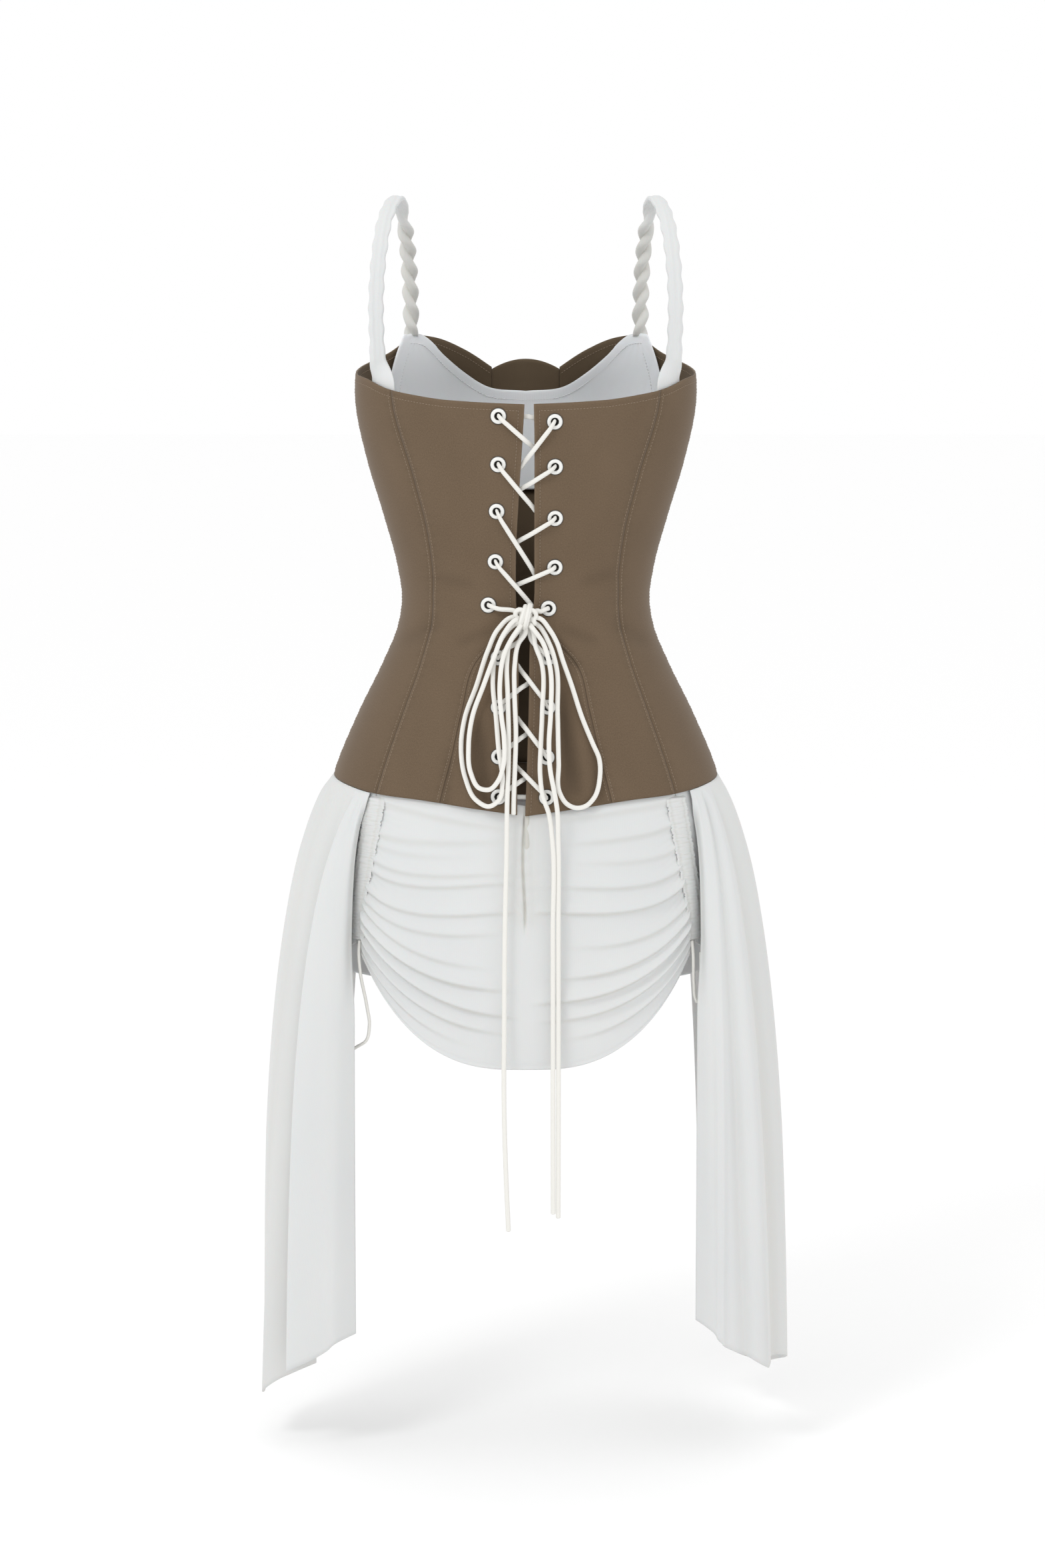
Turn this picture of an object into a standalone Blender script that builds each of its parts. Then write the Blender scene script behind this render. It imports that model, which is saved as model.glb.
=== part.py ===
# Corset dress with a laced back, twisted straps, a ruched skirt and two side drapes.
# Metres. +Z is up, -Y is the laced back and +X is the wearer's right.
# The origin lies between the undersides of the two straps, where the shoulders carry them.

import math

import bpy
import numpy as np
from mathutils import Matrix, Vector

# Cloth, seams and cords
corset_wall = 0.0020
jersey_wall = 0.0014
seam_gap = 0.0003
roundness = 2.2                 # exponent of the plan curve, where 2 is an ellipse
lace_radius = 0.0021
drawstring_radius = 0.0015

# Body sections: height, half width, depth to the back, depth to the front
sections = np.array([
    (-0.820, 0.1760, 0.112, 0.098),
    (-0.740, 0.1840, 0.119, 0.102),
    (-0.660, 0.1890, 0.121, 0.104),
    (-0.600, 0.1880, 0.120, 0.105),
    (-0.544, 0.1815, 0.117, 0.105),
    (-0.481, 0.1570, 0.105, 0.098),
    (-0.431, 0.1325, 0.091, 0.089),
    (-0.400, 0.1196, 0.0845, 0.084),
    (-0.372, 0.1152, 0.0815, 0.082),
    (-0.344, 0.1189, 0.0825, 0.084),
    (-0.294, 0.1323, 0.088, 0.090),
    (-0.245, 0.1469, 0.092, 0.096),
    (-0.190, 0.1578, 0.094, 0.100),
    (-0.140, 0.1560, 0.090, 0.096),
])
cup_rise = 0.022
cup_place = (0.074, -0.205)     # from the centre front, and height
cup_spread = (0.050, 0.055)

# Corset edges: degrees round from the centre back, height
top_edge = np.array([
    (0.0, -0.1910),
    (31.0, -0.1885),
    (43.0, -0.1866),
    (53.5, -0.1830),
    (64.0, -0.1780),
    (75.0, -0.1690),
    (90.0, -0.1640),
    (99.0, -0.1590),
    (114.5, -0.1468),
    (126.0, -0.1305),
    (133.0, -0.1316),
    (147.0, -0.1429),
    (163.0, -0.1618),
])
hem_edge = np.array([
    (0.0, -0.5625),
    (24.0, -0.5555),
    (43.0, -0.5495),
    (60.0, -0.5460),
    (75.0, -0.5400),
    (90.0, -0.5360),
    (120.0, -0.5380),
    (180.0, -0.5480),
])
scallop_rise = 0.0095
scallop_half_width = 0.032
scallop_angle = math.radians(163.0)

# Edges along the lacing: height, left edge, right edge
lacing_edge = np.array([
    (-0.565, -0.0079, -0.0006),
    (-0.510, -0.0079, 0.0014),
    (-0.455, -0.0067, 0.0030),
    (-0.405, -0.0073, 0.0040),
    (-0.365, -0.0091, 0.0079),
    (-0.329, -0.0091, 0.0079),
    (-0.270, -0.0061, 0.0079),
    (-0.222, -0.0030, 0.0079),
    (-0.190, -0.0012, 0.0073),
])

# Corset seams: height, gore seam, side back seam, side front seam, centre front seam
seams = np.array([
    (-0.565, 0.0815, 0.1420, 0.124, 0.045),
    (-0.545, 0.0770, 0.1370, 0.118, 0.044),
    (-0.510, 0.0677, 0.1260, 0.108, 0.040),
    (-0.468, 0.0580, 0.1110, 0.093, 0.035),
    (-0.426, 0.0460, 0.0960, 0.081, 0.030),
    (-0.389, 0.0125, 0.0868, 0.073, 0.028),
    (-0.348, 0.0110, 0.0855, 0.074, 0.028),
    (-0.307, 0.0110, 0.0905, 0.082, 0.029),
    (-0.257, 0.0110, 0.1030, 0.093, 0.030),
    (-0.190, 0.0110, 0.1220, 0.103, 0.032),
    (-0.130, 0.0110, 0.1240, 0.106, 0.032),
])
gore_column, side_back_column, side_front_column, centre_front_column = 1, 2, 3, 4
# Rows of every corset panel, as shares of its height, closer at the waist
panel_rows = np.array([0, 0.095, 0.19, 0.28, 0.345, 0.405, 0.4667, 0.52, 0.575, 0.65, 0.76, 0.88, 1])
gore_rows = 6
gore_top_slack = 0.004

# Eyelets: left x, left height, right x, right height
eyelets = (
    (-0.0248, -0.2016, 0.0262, -0.2066),
    (-0.0251, -0.2452, 0.0265, -0.2473),
    (-0.0264, -0.2877, 0.0266, -0.2940),
    (-0.0276, -0.3337, 0.0264, -0.3389),
    (-0.0341, -0.3735, 0.0206, -0.3764),
    (-0.0250, -0.4210, 0.0203, -0.4210),
    (-0.0248, -0.4650, 0.0200, -0.4650),
    (-0.0245, -0.5090, 0.0190, -0.5095),
    (-0.0248, -0.5450, 0.0190, -0.5455),
)
eyelet_hole = 0.00345
eyelet_barrel = 0.0043
eyelet_flange = 0.00735
eyelet_seat = 0.0007            # the flange above the cloth
eyelet_top = 0.0018
eyelet_end = 0.0026             # the barrel's end below the cloth's outside
panel_hole = 0.0047

# Lace crossings: height where the two runs cross, which run lies on top (-1 from the left)
upper_crossings = ((-0.2310, 1), (-0.2690, -1), (-0.3170, -1), (-0.3560, -1))
lower_crossings = ((-0.4420, 1), (-0.4870, 1), (-0.5270, 1))

behind_out = -0.0054            # lace behind the panels
top_bar = 0.0034                # where the ends behind the gap meet, x
bottom_bar = -0.0028

# Knot of the bow
knot_height = -0.3838
knot_out = 0.0100
knot_size = np.array([0.0095, 0.0075, 0.0110])
knot_stub = 0.0030              # cord that stands square on the knot
cord_spacing = 0.0126

# Free cord routes: x, height, distance out from the corset. The first row, and a loop's last
# row, gives the side of the knot that the cord leaves.
bow_loop_left_outer = (
    (-0.0094, -0.3844, 0.0110), (-0.0240, -0.3960, 0.0120), (-0.0330, -0.4155, 0.0095),
    (-0.0440, -0.4476, 0.0060), (-0.0545, -0.4754, 0.0045), (-0.0580, -0.5015, 0.0042),
    (-0.0543, -0.5283, 0.0042), (-0.0446, -0.5479, 0.0050), (-0.0326, -0.5534, 0.0080),
    (-0.0236, -0.5475, 0.0100), (-0.0206, -0.5330, 0.0105), (-0.0238, -0.5051, 0.0105),
    (-0.0262, -0.4754, 0.0098), (-0.0290, -0.4423, 0.0090), (-0.0258, -0.4155, 0.0085),
    (-0.0190, -0.4010, 0.0090), (-0.0074, -0.3898, 0.0076),
)
bow_loop_left_inner = (
    (-0.0074, -0.3869, 0.0142), (-0.0190, -0.4010, 0.0148), (-0.0272, -0.4221, 0.0142),
    (-0.0365, -0.4476, 0.0125), (-0.0471, -0.4754, 0.0090), (-0.0505, -0.5015, 0.0088),
    (-0.0487, -0.5240, 0.0092), (-0.0410, -0.5375, 0.0100), (-0.0314, -0.5385, 0.0130),
    (-0.0235, -0.5300, 0.0150), (-0.0195, -0.5170, 0.0152), (-0.0190, -0.4932, 0.0148),
    (-0.0212, -0.4754, 0.0142), (-0.0225, -0.4458, 0.0136), (-0.0185, -0.4191, 0.0140),
    (-0.0110, -0.4030, 0.0150), (-0.0042, -0.3922, 0.0135),
)
tail_left = (
    (-0.0042, -0.3933, 0.0080), (-0.0140, -0.4080, 0.0090), (-0.0165, -0.4250, 0.0094),
    (-0.0160, -0.4553, 0.0098), (-0.0152, -0.4900, 0.0098), (-0.0155, -0.5217, 0.0098),
    (-0.0165, -0.5479, 0.0100), (-0.0170, -0.5830, 0.0080), (-0.0187, -0.6683, 0.0070),
    (-0.0194, -0.7612, 0.0075), (-0.0195, -0.8237, 0.0100), (-0.0180, -0.8859, 0.0110),
    (-0.0155, -0.9470, 0.0110),
)
tail_left_short = (
    (0.0000, -0.3947, 0.0090), (-0.0065, -0.4090, 0.0084), (-0.0098, -0.4281, 0.0086),
    (-0.0100, -0.4553, 0.0086), (-0.0088, -0.4900, 0.0086), (-0.0098, -0.5217, 0.0078),
    (-0.0108, -0.5480, 0.0070), (-0.0110, -0.5610, 0.0065),
)
bow_loop_right = (
    (0.0093, -0.3853, 0.0110), (0.0205, -0.3960, 0.0110), (0.0270, -0.4080, 0.0098),
    (0.0325, -0.4240, 0.0075), (0.0405, -0.4458, 0.0055), (0.0502, -0.4748, 0.0045),
    (0.0598, -0.4979, 0.0042), (0.0658, -0.5122, 0.0042), (0.0664, -0.5277, 0.0042),
    (0.0610, -0.5467, 0.0042), (0.0537, -0.5535, 0.0045), (0.0453, -0.5550, 0.0055),
    (0.0362, -0.5510, 0.0080), (0.0300, -0.5415, 0.0098), (0.0290, -0.5152, 0.0098),
    (0.0280, -0.4718, 0.0092), (0.0265, -0.4286, 0.0090), (0.0205, -0.4090, 0.0092),
    (0.0076, -0.3899, 0.0082),
)
tail_right_inner = (
    (0.0042, -0.3933, 0.0080), (0.0085, -0.4110, 0.0086), (0.0135, -0.4250, 0.0088),
    (0.0145, -0.4718, 0.0088), (0.0133, -0.5003, 0.0088), (0.0127, -0.5250, 0.0092),
    (0.0150, -0.5440, 0.0100), (0.0205, -0.5600, 0.0090), (0.0235, -0.5830, 0.0080),
    (0.0242, -0.6683, 0.0070), (0.0244, -0.7925, 0.0080), (0.0245, -0.9309, 0.0110),
)
tail_right_outer = (
    (0.0043, -0.3925, 0.0130), (0.0145, -0.4080, 0.0125), (0.0205, -0.4286, 0.0132),
    (0.0217, -0.4718, 0.0135), (0.0202, -0.5003, 0.0138), (0.0214, -0.5223, 0.0142),
    (0.0243, -0.5378, 0.0144), (0.0275, -0.5558, 0.0130), (0.0288, -0.5830, 0.0085),
    (0.0291, -0.6683, 0.0070), (0.0293, -0.7925, 0.0080), (0.0290, -0.9347, 0.0110),
)

# Free drawstring routes: x, y, height
drawstring_left = (
    (-0.1534, -0.0735, -0.6836), (-0.1542, -0.0742, -0.6930), (-0.1530, -0.0745, -0.7127),
    (-0.1469, -0.0745, -0.7455), (-0.1447, -0.0740, -0.7630), (-0.1484, -0.0730, -0.7787),
    (-0.1560, -0.0720, -0.7837), (-0.1610, -0.0715, -0.7868),
)
drawstring_right = (
    (0.1534, -0.0735, -0.6836), (0.1545, -0.0740, -0.6950), (0.1556, -0.0735, -0.7250),
    (0.1570, -0.0730, -0.7380), (0.1590, -0.0732, -0.7420), (0.1610, -0.0730, -0.7380),
    (0.1622, -0.0722, -0.7250), (0.1620, -0.0712, -0.7080), (0.1618, -0.0700, -0.6950),
)

# Inner bust layer: its neckline (x, height) and its armhole edge (height, x)
camisole_out = -0.0066
camisole_foot = -0.2765
camisole_neckline = np.array([
    (0.000, -0.1824), (0.034, -0.1775), (0.057, -0.1640), (0.079, -0.1480),
    (0.100, -0.1302), (0.130, -0.1302),
])
camisole_side = np.array([
    (-0.280, 0.1240), (-0.230, 0.1320), (-0.180, 0.1340), (-0.142, 0.1240), (-0.128, 0.1180),
])

# Strap centre line on one side: x, y, height
strap_route = np.array([
    (0.1080, 0.0690, -0.1298),
    (0.1082, 0.0720, -0.1050),
    (0.1096, 0.0660, -0.0660),
    (0.1125, 0.0480, -0.0330),
    (0.1190, 0.0050, -0.0075),
    (0.1290, -0.0370, -0.0290),
    (0.1340, -0.0520, -0.0620),
    (0.1362, -0.0560, -0.1000),
    (0.1355, -0.0525, -0.1400),
    (0.1340, -0.0485, -0.1703),
])
strap_strand = 0.0036
strap_turns = 7.5
strap_hold = 0.03               # share of each end that runs straight
strap_spacing = 0.0088          # between points of a strand
strap_tab_half = 0.012
strap_tab_low = -0.196
strap_tab_high = -0.1712
strap_tab_out = -0.0044

# Skirt: edge above the corset hem, and the ruched seam: height, x
skirt_overlap = 0.009
skirt_out = -0.0036
skirt_seam_gap = 0.0008         # under the channels, where the gathered edges meet
ruched_seam = np.array([
    (-0.690, 0.1590),
    (-0.650, 0.1572),
    (-0.617, 0.1514),
    (-0.577, 0.1440),
    (-0.530, 0.1360),
])
skirt_back_drop = -0.7985
skirt_front_drop = -0.7700
skirt_side_foot = -0.6870
skirt_foot_pull = 1.7           # gathers the lower folds at the foot of the ruching
skirt_hem_power = 3.3

# Drawstring channel beside each ruched seam
channel_width = 0.0095          # on the skirt back
channel_turn = 0.0015           # past the seam
channel_low = skirt_side_foot + 0.004
channel_high = -0.556
channel_out = skirt_out + 0.0021
channel_wall = 0.0011
channel_gather = 0.0003
channel_rows = 12

# Swags across the skirt back: share of the drop, rise at the middle, rise at the seams
swags = np.array([
    (0.08, 0.0010, 0.0022),
    (0.19, 0.0018, 0.0034),
    (0.30, 0.0022, 0.0040),
    (0.41, 0.0024, 0.0044),
    (0.52, 0.0028, 0.0048),
    (0.63, 0.0034, 0.0050),
    (0.74, 0.0042, 0.0050),
    (0.85, 0.0046, 0.0046),
    (0.95, 0.0036, 0.0034),
])

# Drapes: share across, degrees at the corset hem, x, y and height at the drape's hem, settling
drape_left = np.array([
    (0.00, 61.5, 0.158, -0.088, -1.052, 8.0),
    (0.17, 64.0, 0.188, -0.103, -1.066, 5.0),
    (0.33, 66.5, 0.219, -0.100, -1.084, 4.0),
    (0.45, 69.0, 0.199, -0.078, -1.083, 4.0),
    (0.57, 75.0, 0.228, -0.064, -1.100, 3.3),
    (0.69, 84.0, 0.249, -0.040, -1.120, 3.3),
    (0.80, 96.0, 0.246, 0.000, -1.105, 3.3),
    (0.90, 108.0, 0.218, 0.042, -1.075, 3.3),
    (1.00, 121.0, 0.175, 0.080, -1.045, 3.3),
])
drape_right = np.array([
    (0.00, 65.0, 0.158, -0.088, -1.039, 8.0),
    (0.15, 68.0, 0.180, -0.100, -1.056, 5.0),
    (0.30, 72.0, 0.205, -0.096, -1.072, 4.0),
    (0.42, 77.0, 0.226, -0.080, -1.086, 3.3),
    (0.52, 85.0, 0.242, -0.052, -1.083, 3.3),
    (0.64, 95.0, 0.240, -0.010, -1.095, 3.3),
    (0.78, 105.0, 0.222, 0.035, -1.112, 3.3),
    (0.90, 113.0, 0.195, 0.064, -1.103, 3.3),
    (1.00, 121.0, 0.170, 0.085, -1.085, 3.3),
])
drape_wave = 0.004
fold_stations = 6               # the stretches near the back edge that have a point between

# Colours: red, green, blue, roughness, metallic
suiting_brown = (0.16, 0.115, 0.078, 0.85, 0.0)
jersey_white = (0.80, 0.81, 0.80, 0.80, 0.0)
lace_white = (0.86, 0.85, 0.80, 0.70, 0.0)
enamel_white = (0.85, 0.85, 0.83, 0.35, 0.0)

dress = bpy.data.collections.new("corset_dress")
cutters = bpy.data.collections.new("cutters")


def clear_scene():
    for thing in list(bpy.data.objects):
        bpy.data.objects.remove(thing)
    bpy.context.scene.collection.children.link(dress)
    bpy.context.scene.collection.children.link(cutters)


def make_material(name, look):
    material = bpy.data.materials.new(name)
    material.use_nodes = True
    surface = material.node_tree.nodes["Principled BSDF"]
    surface.inputs["Base Color"].default_value = (*look[:3], 1.0)
    surface.inputs["Roughness"].default_value = look[3]
    surface.inputs["Metallic"].default_value = look[4]
    return material


def column(table, index, key):
    # Smooth curve through a column: cubic pieces whose slopes come from the rows beside them.
    keys = table[:, 0]
    values = table[:, index]
    slopes = np.gradient(values, keys)
    key = np.clip(key, keys[0], keys[-1])
    row = np.clip(np.searchsorted(keys, key) - 1, 0, len(keys) - 2)
    step = keys[row + 1] - keys[row]
    t = (key - keys[row]) / step
    start = values[row] * (1 + 2 * t) * (1 - t) ** 2 + slopes[row] * step * t * (1 - t) ** 2
    return start + values[row + 1] * t * t * (3 - 2 * t) - slopes[row + 1] * step * t * t * (1 - t)


def plan(angle, height):
    # Rounded oval at each height, with the cups' rise at the front; angle 0 is the centre back.
    angle = np.asarray(angle, dtype=float)
    height = np.asarray(height, dtype=float) + 0 * angle
    side = column(sections, 1, height)
    depth = np.where(np.cos(angle) > 0, column(sections, 2, height), column(sections, 3, height))
    across = (np.abs(np.sin(angle)) / side) ** roundness
    reach = (across + (np.abs(np.cos(angle)) / depth) ** roundness) ** (-1 / roundness)
    x = reach * np.sin(angle)
    level = ((np.abs(x) - cup_place[0]) / cup_spread[0]) ** 2
    cup = cup_rise * np.exp(-level - ((height - cup_place[1]) / cup_spread[1]) ** 2)
    y = -reach * np.cos(angle) + cup * np.clip(-np.cos(angle), 0, 1)
    return np.stack([x, y, height], axis=-1)


def body_normal(angle, height):
    step = 1e-4
    across = plan(angle + step, height) - plan(angle - step, height)
    up = plan(angle, height + step) - plan(angle, height - step)
    normal = np.cross(across, up)
    return normal / np.linalg.norm(normal, axis=-1, keepdims=True)


def body(angle, height, out=0.0):
    # A point of the body's surface, moved out along its normal.
    height = np.asarray(height, dtype=float) + 0 * np.asarray(angle, dtype=float)
    out = np.asarray(out, dtype=float) + 0 * height
    return plan(angle, height) + body_normal(angle, height) * out[..., None]


def angle_at(x, height, front=False):
    # The angle round the body where its surface has this x.
    side = column(sections, 1, height)
    depth = column(sections, 3 if front else 2, height)
    y = depth * (1 - np.clip(np.abs(x) / side, 0, 1) ** roundness) ** (1 / roundness)
    angle = np.arctan2(np.abs(x), y)
    return np.sign(x) * (np.pi - angle if front else angle)


def on_back(route):
    # Route rows of x, height and distance out, as points over the back.
    rows = np.array(route)
    return body(angle_at(rows[:, 0], rows[:, 1]), rows[:, 1], rows[:, 2])


def top_height(angle):
    return column(top_edge, 1, np.degrees(np.abs(angle)))


def hem_height(angle):
    return column(hem_edge, 1, np.degrees(np.abs(angle)))


def shell(name, outer, inner, material):
    # Closed wall between two matching grids, rows going up and columns going to higher angles.
    rows, columns = outer.shape[:2]
    index = np.arange(rows * columns).reshape(rows, columns)
    lower = np.stack([index[:-1, :-1], index[:-1, 1:], index[1:, 1:]], axis=-1).reshape(-1, 3)
    upper = np.stack([index[:-1, :-1], index[1:, 1:], index[1:, :-1]], axis=-1).reshape(-1, 3)
    front = np.concatenate([lower, upper])
    rim = np.concatenate([index[0, :-1], index[:-1, -1], index[-1, :0:-1], index[:0:-1, 0]])
    after = np.roll(rim, -1)
    behind = rows * columns
    walls = np.stack([after, rim, rim + behind, after + behind], axis=-1)
    faces = front.tolist() + (front[:, ::-1] + behind).tolist() + walls.tolist()
    points = np.concatenate([outer.reshape(-1, 3), inner.reshape(-1, 3)])
    mesh = bpy.data.meshes.new(name)
    mesh.from_pydata(points.tolist(), [], faces)
    return add_object(name, mesh, material)


def add_object(name, mesh, material):
    thing = bpy.data.objects.new(name, mesh)
    mesh.materials.clear()
    mesh.materials.append(material)
    if isinstance(mesh, bpy.types.Mesh):
        mesh.shade_smooth()
        mesh.set_sharp_from_angle(angle=math.radians(40))
    dress.objects.link(thing)
    return thing


def spread(left, right, bottom, top, across, upward):
    # Angles and heights of a grid between two side lines and two edges.
    height = np.full((len(upward), len(across)), 0.5 * (bottom(0.0) + top(0.0)))
    for _ in range(12):
        angle = left(height) + (right(height) - left(height)) * across[None, :]
        height = bottom(angle) + (top(angle) - bottom(angle)) * upward[:, None]
    return angle, height


def seam_line(index, side, front=False, inset=0.0):
    # A seam on one side of the body, inset from its own line by half the gap.
    def line(height):
        angle = angle_at(side * column(seams, index, height), height, front)
        return angle + inset / column(sections, 2, height)
    return line


def lacing_line(side):
    def line(height):
        return angle_at(column(lacing_edge, 2 if side > 0 else 1, height), height)
    return line


def panel(name, left, right, bottom, top, columns, upward, material, wall=corset_wall, out=0.0):
    across = np.linspace(0, 1, columns + 1)
    angle, height = spread(left, right, bottom, top, across, upward)
    return shell(name, body(angle, height, out), body(angle, height, out - wall), material)


def eyelet_place(x, height):
    # The eyelet's frame: its Z axis is the cloth's normal.
    angle = angle_at(x, height)
    normal = Vector(body_normal(angle, height))
    turn = normal.to_track_quat("Z", "Y").to_matrix().to_4x4()
    return Matrix.Translation(Vector(body(angle, height))) @ turn


def cut_holes(panel_object, places):
    for number, place in enumerate(places):
        bpy.ops.mesh.primitive_cylinder_add(vertices=10, radius=panel_hole, depth=0.012)
        cutter = bpy.context.object
        cutter.name = f"{panel_object.name}_cutter_{number + 1}"
        cutter.matrix_world = place
        cutter.hide_render = True
        cutter.display_type = "WIRE"
        for holder in list(cutter.users_collection):
            holder.objects.unlink(cutter)
        cutters.objects.link(cutter)
        hole = panel_object.modifiers.new(cutter.name, "BOOLEAN")
        hole.operation = "DIFFERENCE"
        hole.solver = "EXACT"
        hole.object = cutter


def build_corset(brown):
    upward = panel_rows
    half = seam_gap / 2
    centre_notch = top_height(scallop_angle)

    def gore_top(angle):
        return hem_height(angle) + (top_height(angle) - hem_height(angle)) * upward[gore_rows]

    for side, word in ((-1, "left"), (1, "right")):
        lacing = lacing_line(side)
        gore_seam = seam_line(gore_column, side)

        def back_edge(height, lacing=lacing, gore_seam=gore_seam, side=side):
            # The gore's seam below the waist, the lacing's edge above it.
            row_split = hem_height(0.0) + (top_height(0.0) - hem_height(0.0)) * upward[gore_rows]
            seam = gore_seam(height) + side * half / column(sections, 2, height)
            return np.where(height < row_split + gore_top_slack, seam, lacing(height))

        ordered = {
            "corset_back": (back_edge, seam_line(side_back_column, side, False, -side * half), 6),
            "corset_side_back": (seam_line(side_back_column, side, False, side * half),
                                 lambda height, side=side: side * (np.pi / 2 - 0.001) + 0 * height, 4),
            "corset_side_front": (lambda height, side=side: side * (np.pi / 2 + 0.001) + 0 * height,
                                  seam_line(side_front_column, side, True, -side * half), 4),
            "corset_front": (seam_line(side_front_column, side, True, side * half),
                             seam_line(centre_front_column, side, True, -side * half), 5),
        }
        for stem, (near, far, columns) in ordered.items():
            left, right = (near, far) if side > 0 else (far, near)
            made = panel(f"{stem}_{word}", left, right, hem_height, top_height, columns,
                         upward, brown)
            if stem == "corset_back":
                cut_holes(made, eyelet_places(side)[:5])

        def gore_side(height, gore_seam=gore_seam, side=side):
            return gore_seam(height) - side * half / column(sections, 2, height)

        left, right = (lacing, gore_side) if side > 0 else (gore_side, lacing)
        gore = panel(f"corset_back_gore_{word}", left, right, hem_height, gore_top, 5,
                     upward[:gore_rows + 1] / upward[gore_rows], brown)
        cut_holes(gore, eyelet_places(side)[5:])

    def scallop(angle):
        x = plan(angle, centre_notch)[..., 0]
        return centre_notch + scallop_rise * np.clip(1 - (x / scallop_half_width) ** 2, 0, 1)

    start = seam_line(centre_front_column, 1, True, half)
    end = seam_line(centre_front_column, -1, True, -half)
    panel("corset_centre_front", start, lambda height: end(height) + 2 * np.pi, hem_height_round,
          scallop, 4, upward, brown)


def hem_height_round(angle):
    # The hem's height for angles that run past the centre front.
    return hem_height(np.pi - np.abs(np.pi - angle))


def eyelet_places(side):
    first = 0 if side < 0 else 2
    return [eyelet_place(row[first], row[first + 1]) for row in eyelets]


def build_eyelets(enamel):
    # A ring turned about Z: the flange over the cloth and the barrel through it.
    profile = (
        (eyelet_hole, eyelet_top), (eyelet_flange, eyelet_seat + 0.0004),
        (eyelet_barrel, eyelet_seat), (eyelet_barrel, -eyelet_end), (eyelet_hole, -eyelet_end),
    )
    for side, word in ((-1, "left"), (1, "right")):
        for number, place in enumerate(eyelet_places(side)):
            mesh = bpy.data.meshes.new("eyelet_profile")
            edges = [(i, (i + 1) % len(profile)) for i in range(len(profile))]
            mesh.from_pydata([(x, 0.0, z) for x, z in profile], edges, [])
            eyelet = add_object(f"eyelet_{word}_{number + 1}", mesh, enamel)
            eyelet.matrix_world = place
            turn = eyelet.modifiers.new("turn", "SCREW")
            turn.steps = 10
            turn.render_steps = 10
            turn.use_merge_vertices = True
            turn.merge_threshold = 0.00001


def smooth_route(points, spacing):
    # Evenly spaced points on a smooth curve through the route's own points.
    points = np.asarray(points, dtype=float)
    lengths = np.concatenate([[0], np.cumsum(np.linalg.norm(np.diff(points, axis=0), axis=1))])
    table = np.column_stack([lengths, points])
    keys = np.linspace(0, lengths[-1], 400)
    fine = np.stack([column(table, axis, keys) for axis in (1, 2, 3)], axis=-1)
    along = np.concatenate([[0], np.cumsum(np.linalg.norm(np.diff(fine, axis=0), axis=1))])
    count = max(2, round(along[-1] / spacing) + 1)
    places = np.linspace(0, along[-1], count)
    return np.stack([np.interp(places, along, fine[:, axis]) for axis in range(3)], axis=-1)


def tube(name, points, radius, material, resolution=2):
    curve = bpy.data.curves.new(name, "CURVE")
    curve.dimensions = "3D"
    curve.bevel_depth = radius
    curve.bevel_resolution = resolution
    curve.use_fill_caps = True
    line = curve.splines.new("POLY")
    line.points.add(len(points) - 1)
    for point, place in zip(line.points, points):
        point.co = (*place, 1.0)
    return add_object(name, curve, material)


def through_eyelet(x, height, side):
    # Up through an eyelet from behind and over its flange toward the gap.
    return [
        (x - side * 0.0030, height, behind_out),
        (x - side * 0.0002, height, -0.0030),
        (x - side * 0.0006, height, 0.0028),
    ]


def crossing_run(start, cross_height, on_top):
    # One run of lace: over its own panel, across the gap, behind the other panel to the next
    # eyelet. The two runs cross at the edge of the panel that the top run comes from.
    side = math.copysign(1, start[0])
    own, far = (2, 1) if side > 0 else (1, 2)
    own_edge = column(lacing_edge, own, cross_height)
    far_edge = column(lacing_edge, far, cross_height)
    cross = own_edge if on_top else far_edge
    slope = (cross_height - start[1]) / (cross - start[0])

    def at(x, out):
        return (x, start[1] + slope * (x - start[0]), out)

    return [
        at(start[0] - side * 0.0034, 0.0048),
        at(start[0] - side * 0.0095, 0.0045),
        at(own_edge + side * 0.0015, 0.0029),
        at(own_edge - side * 0.0018, 0.0021),
        at(far_edge + side * 0.0018, -0.0042),
        at(far_edge - side * 0.0020, -0.0052),
    ]


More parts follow.
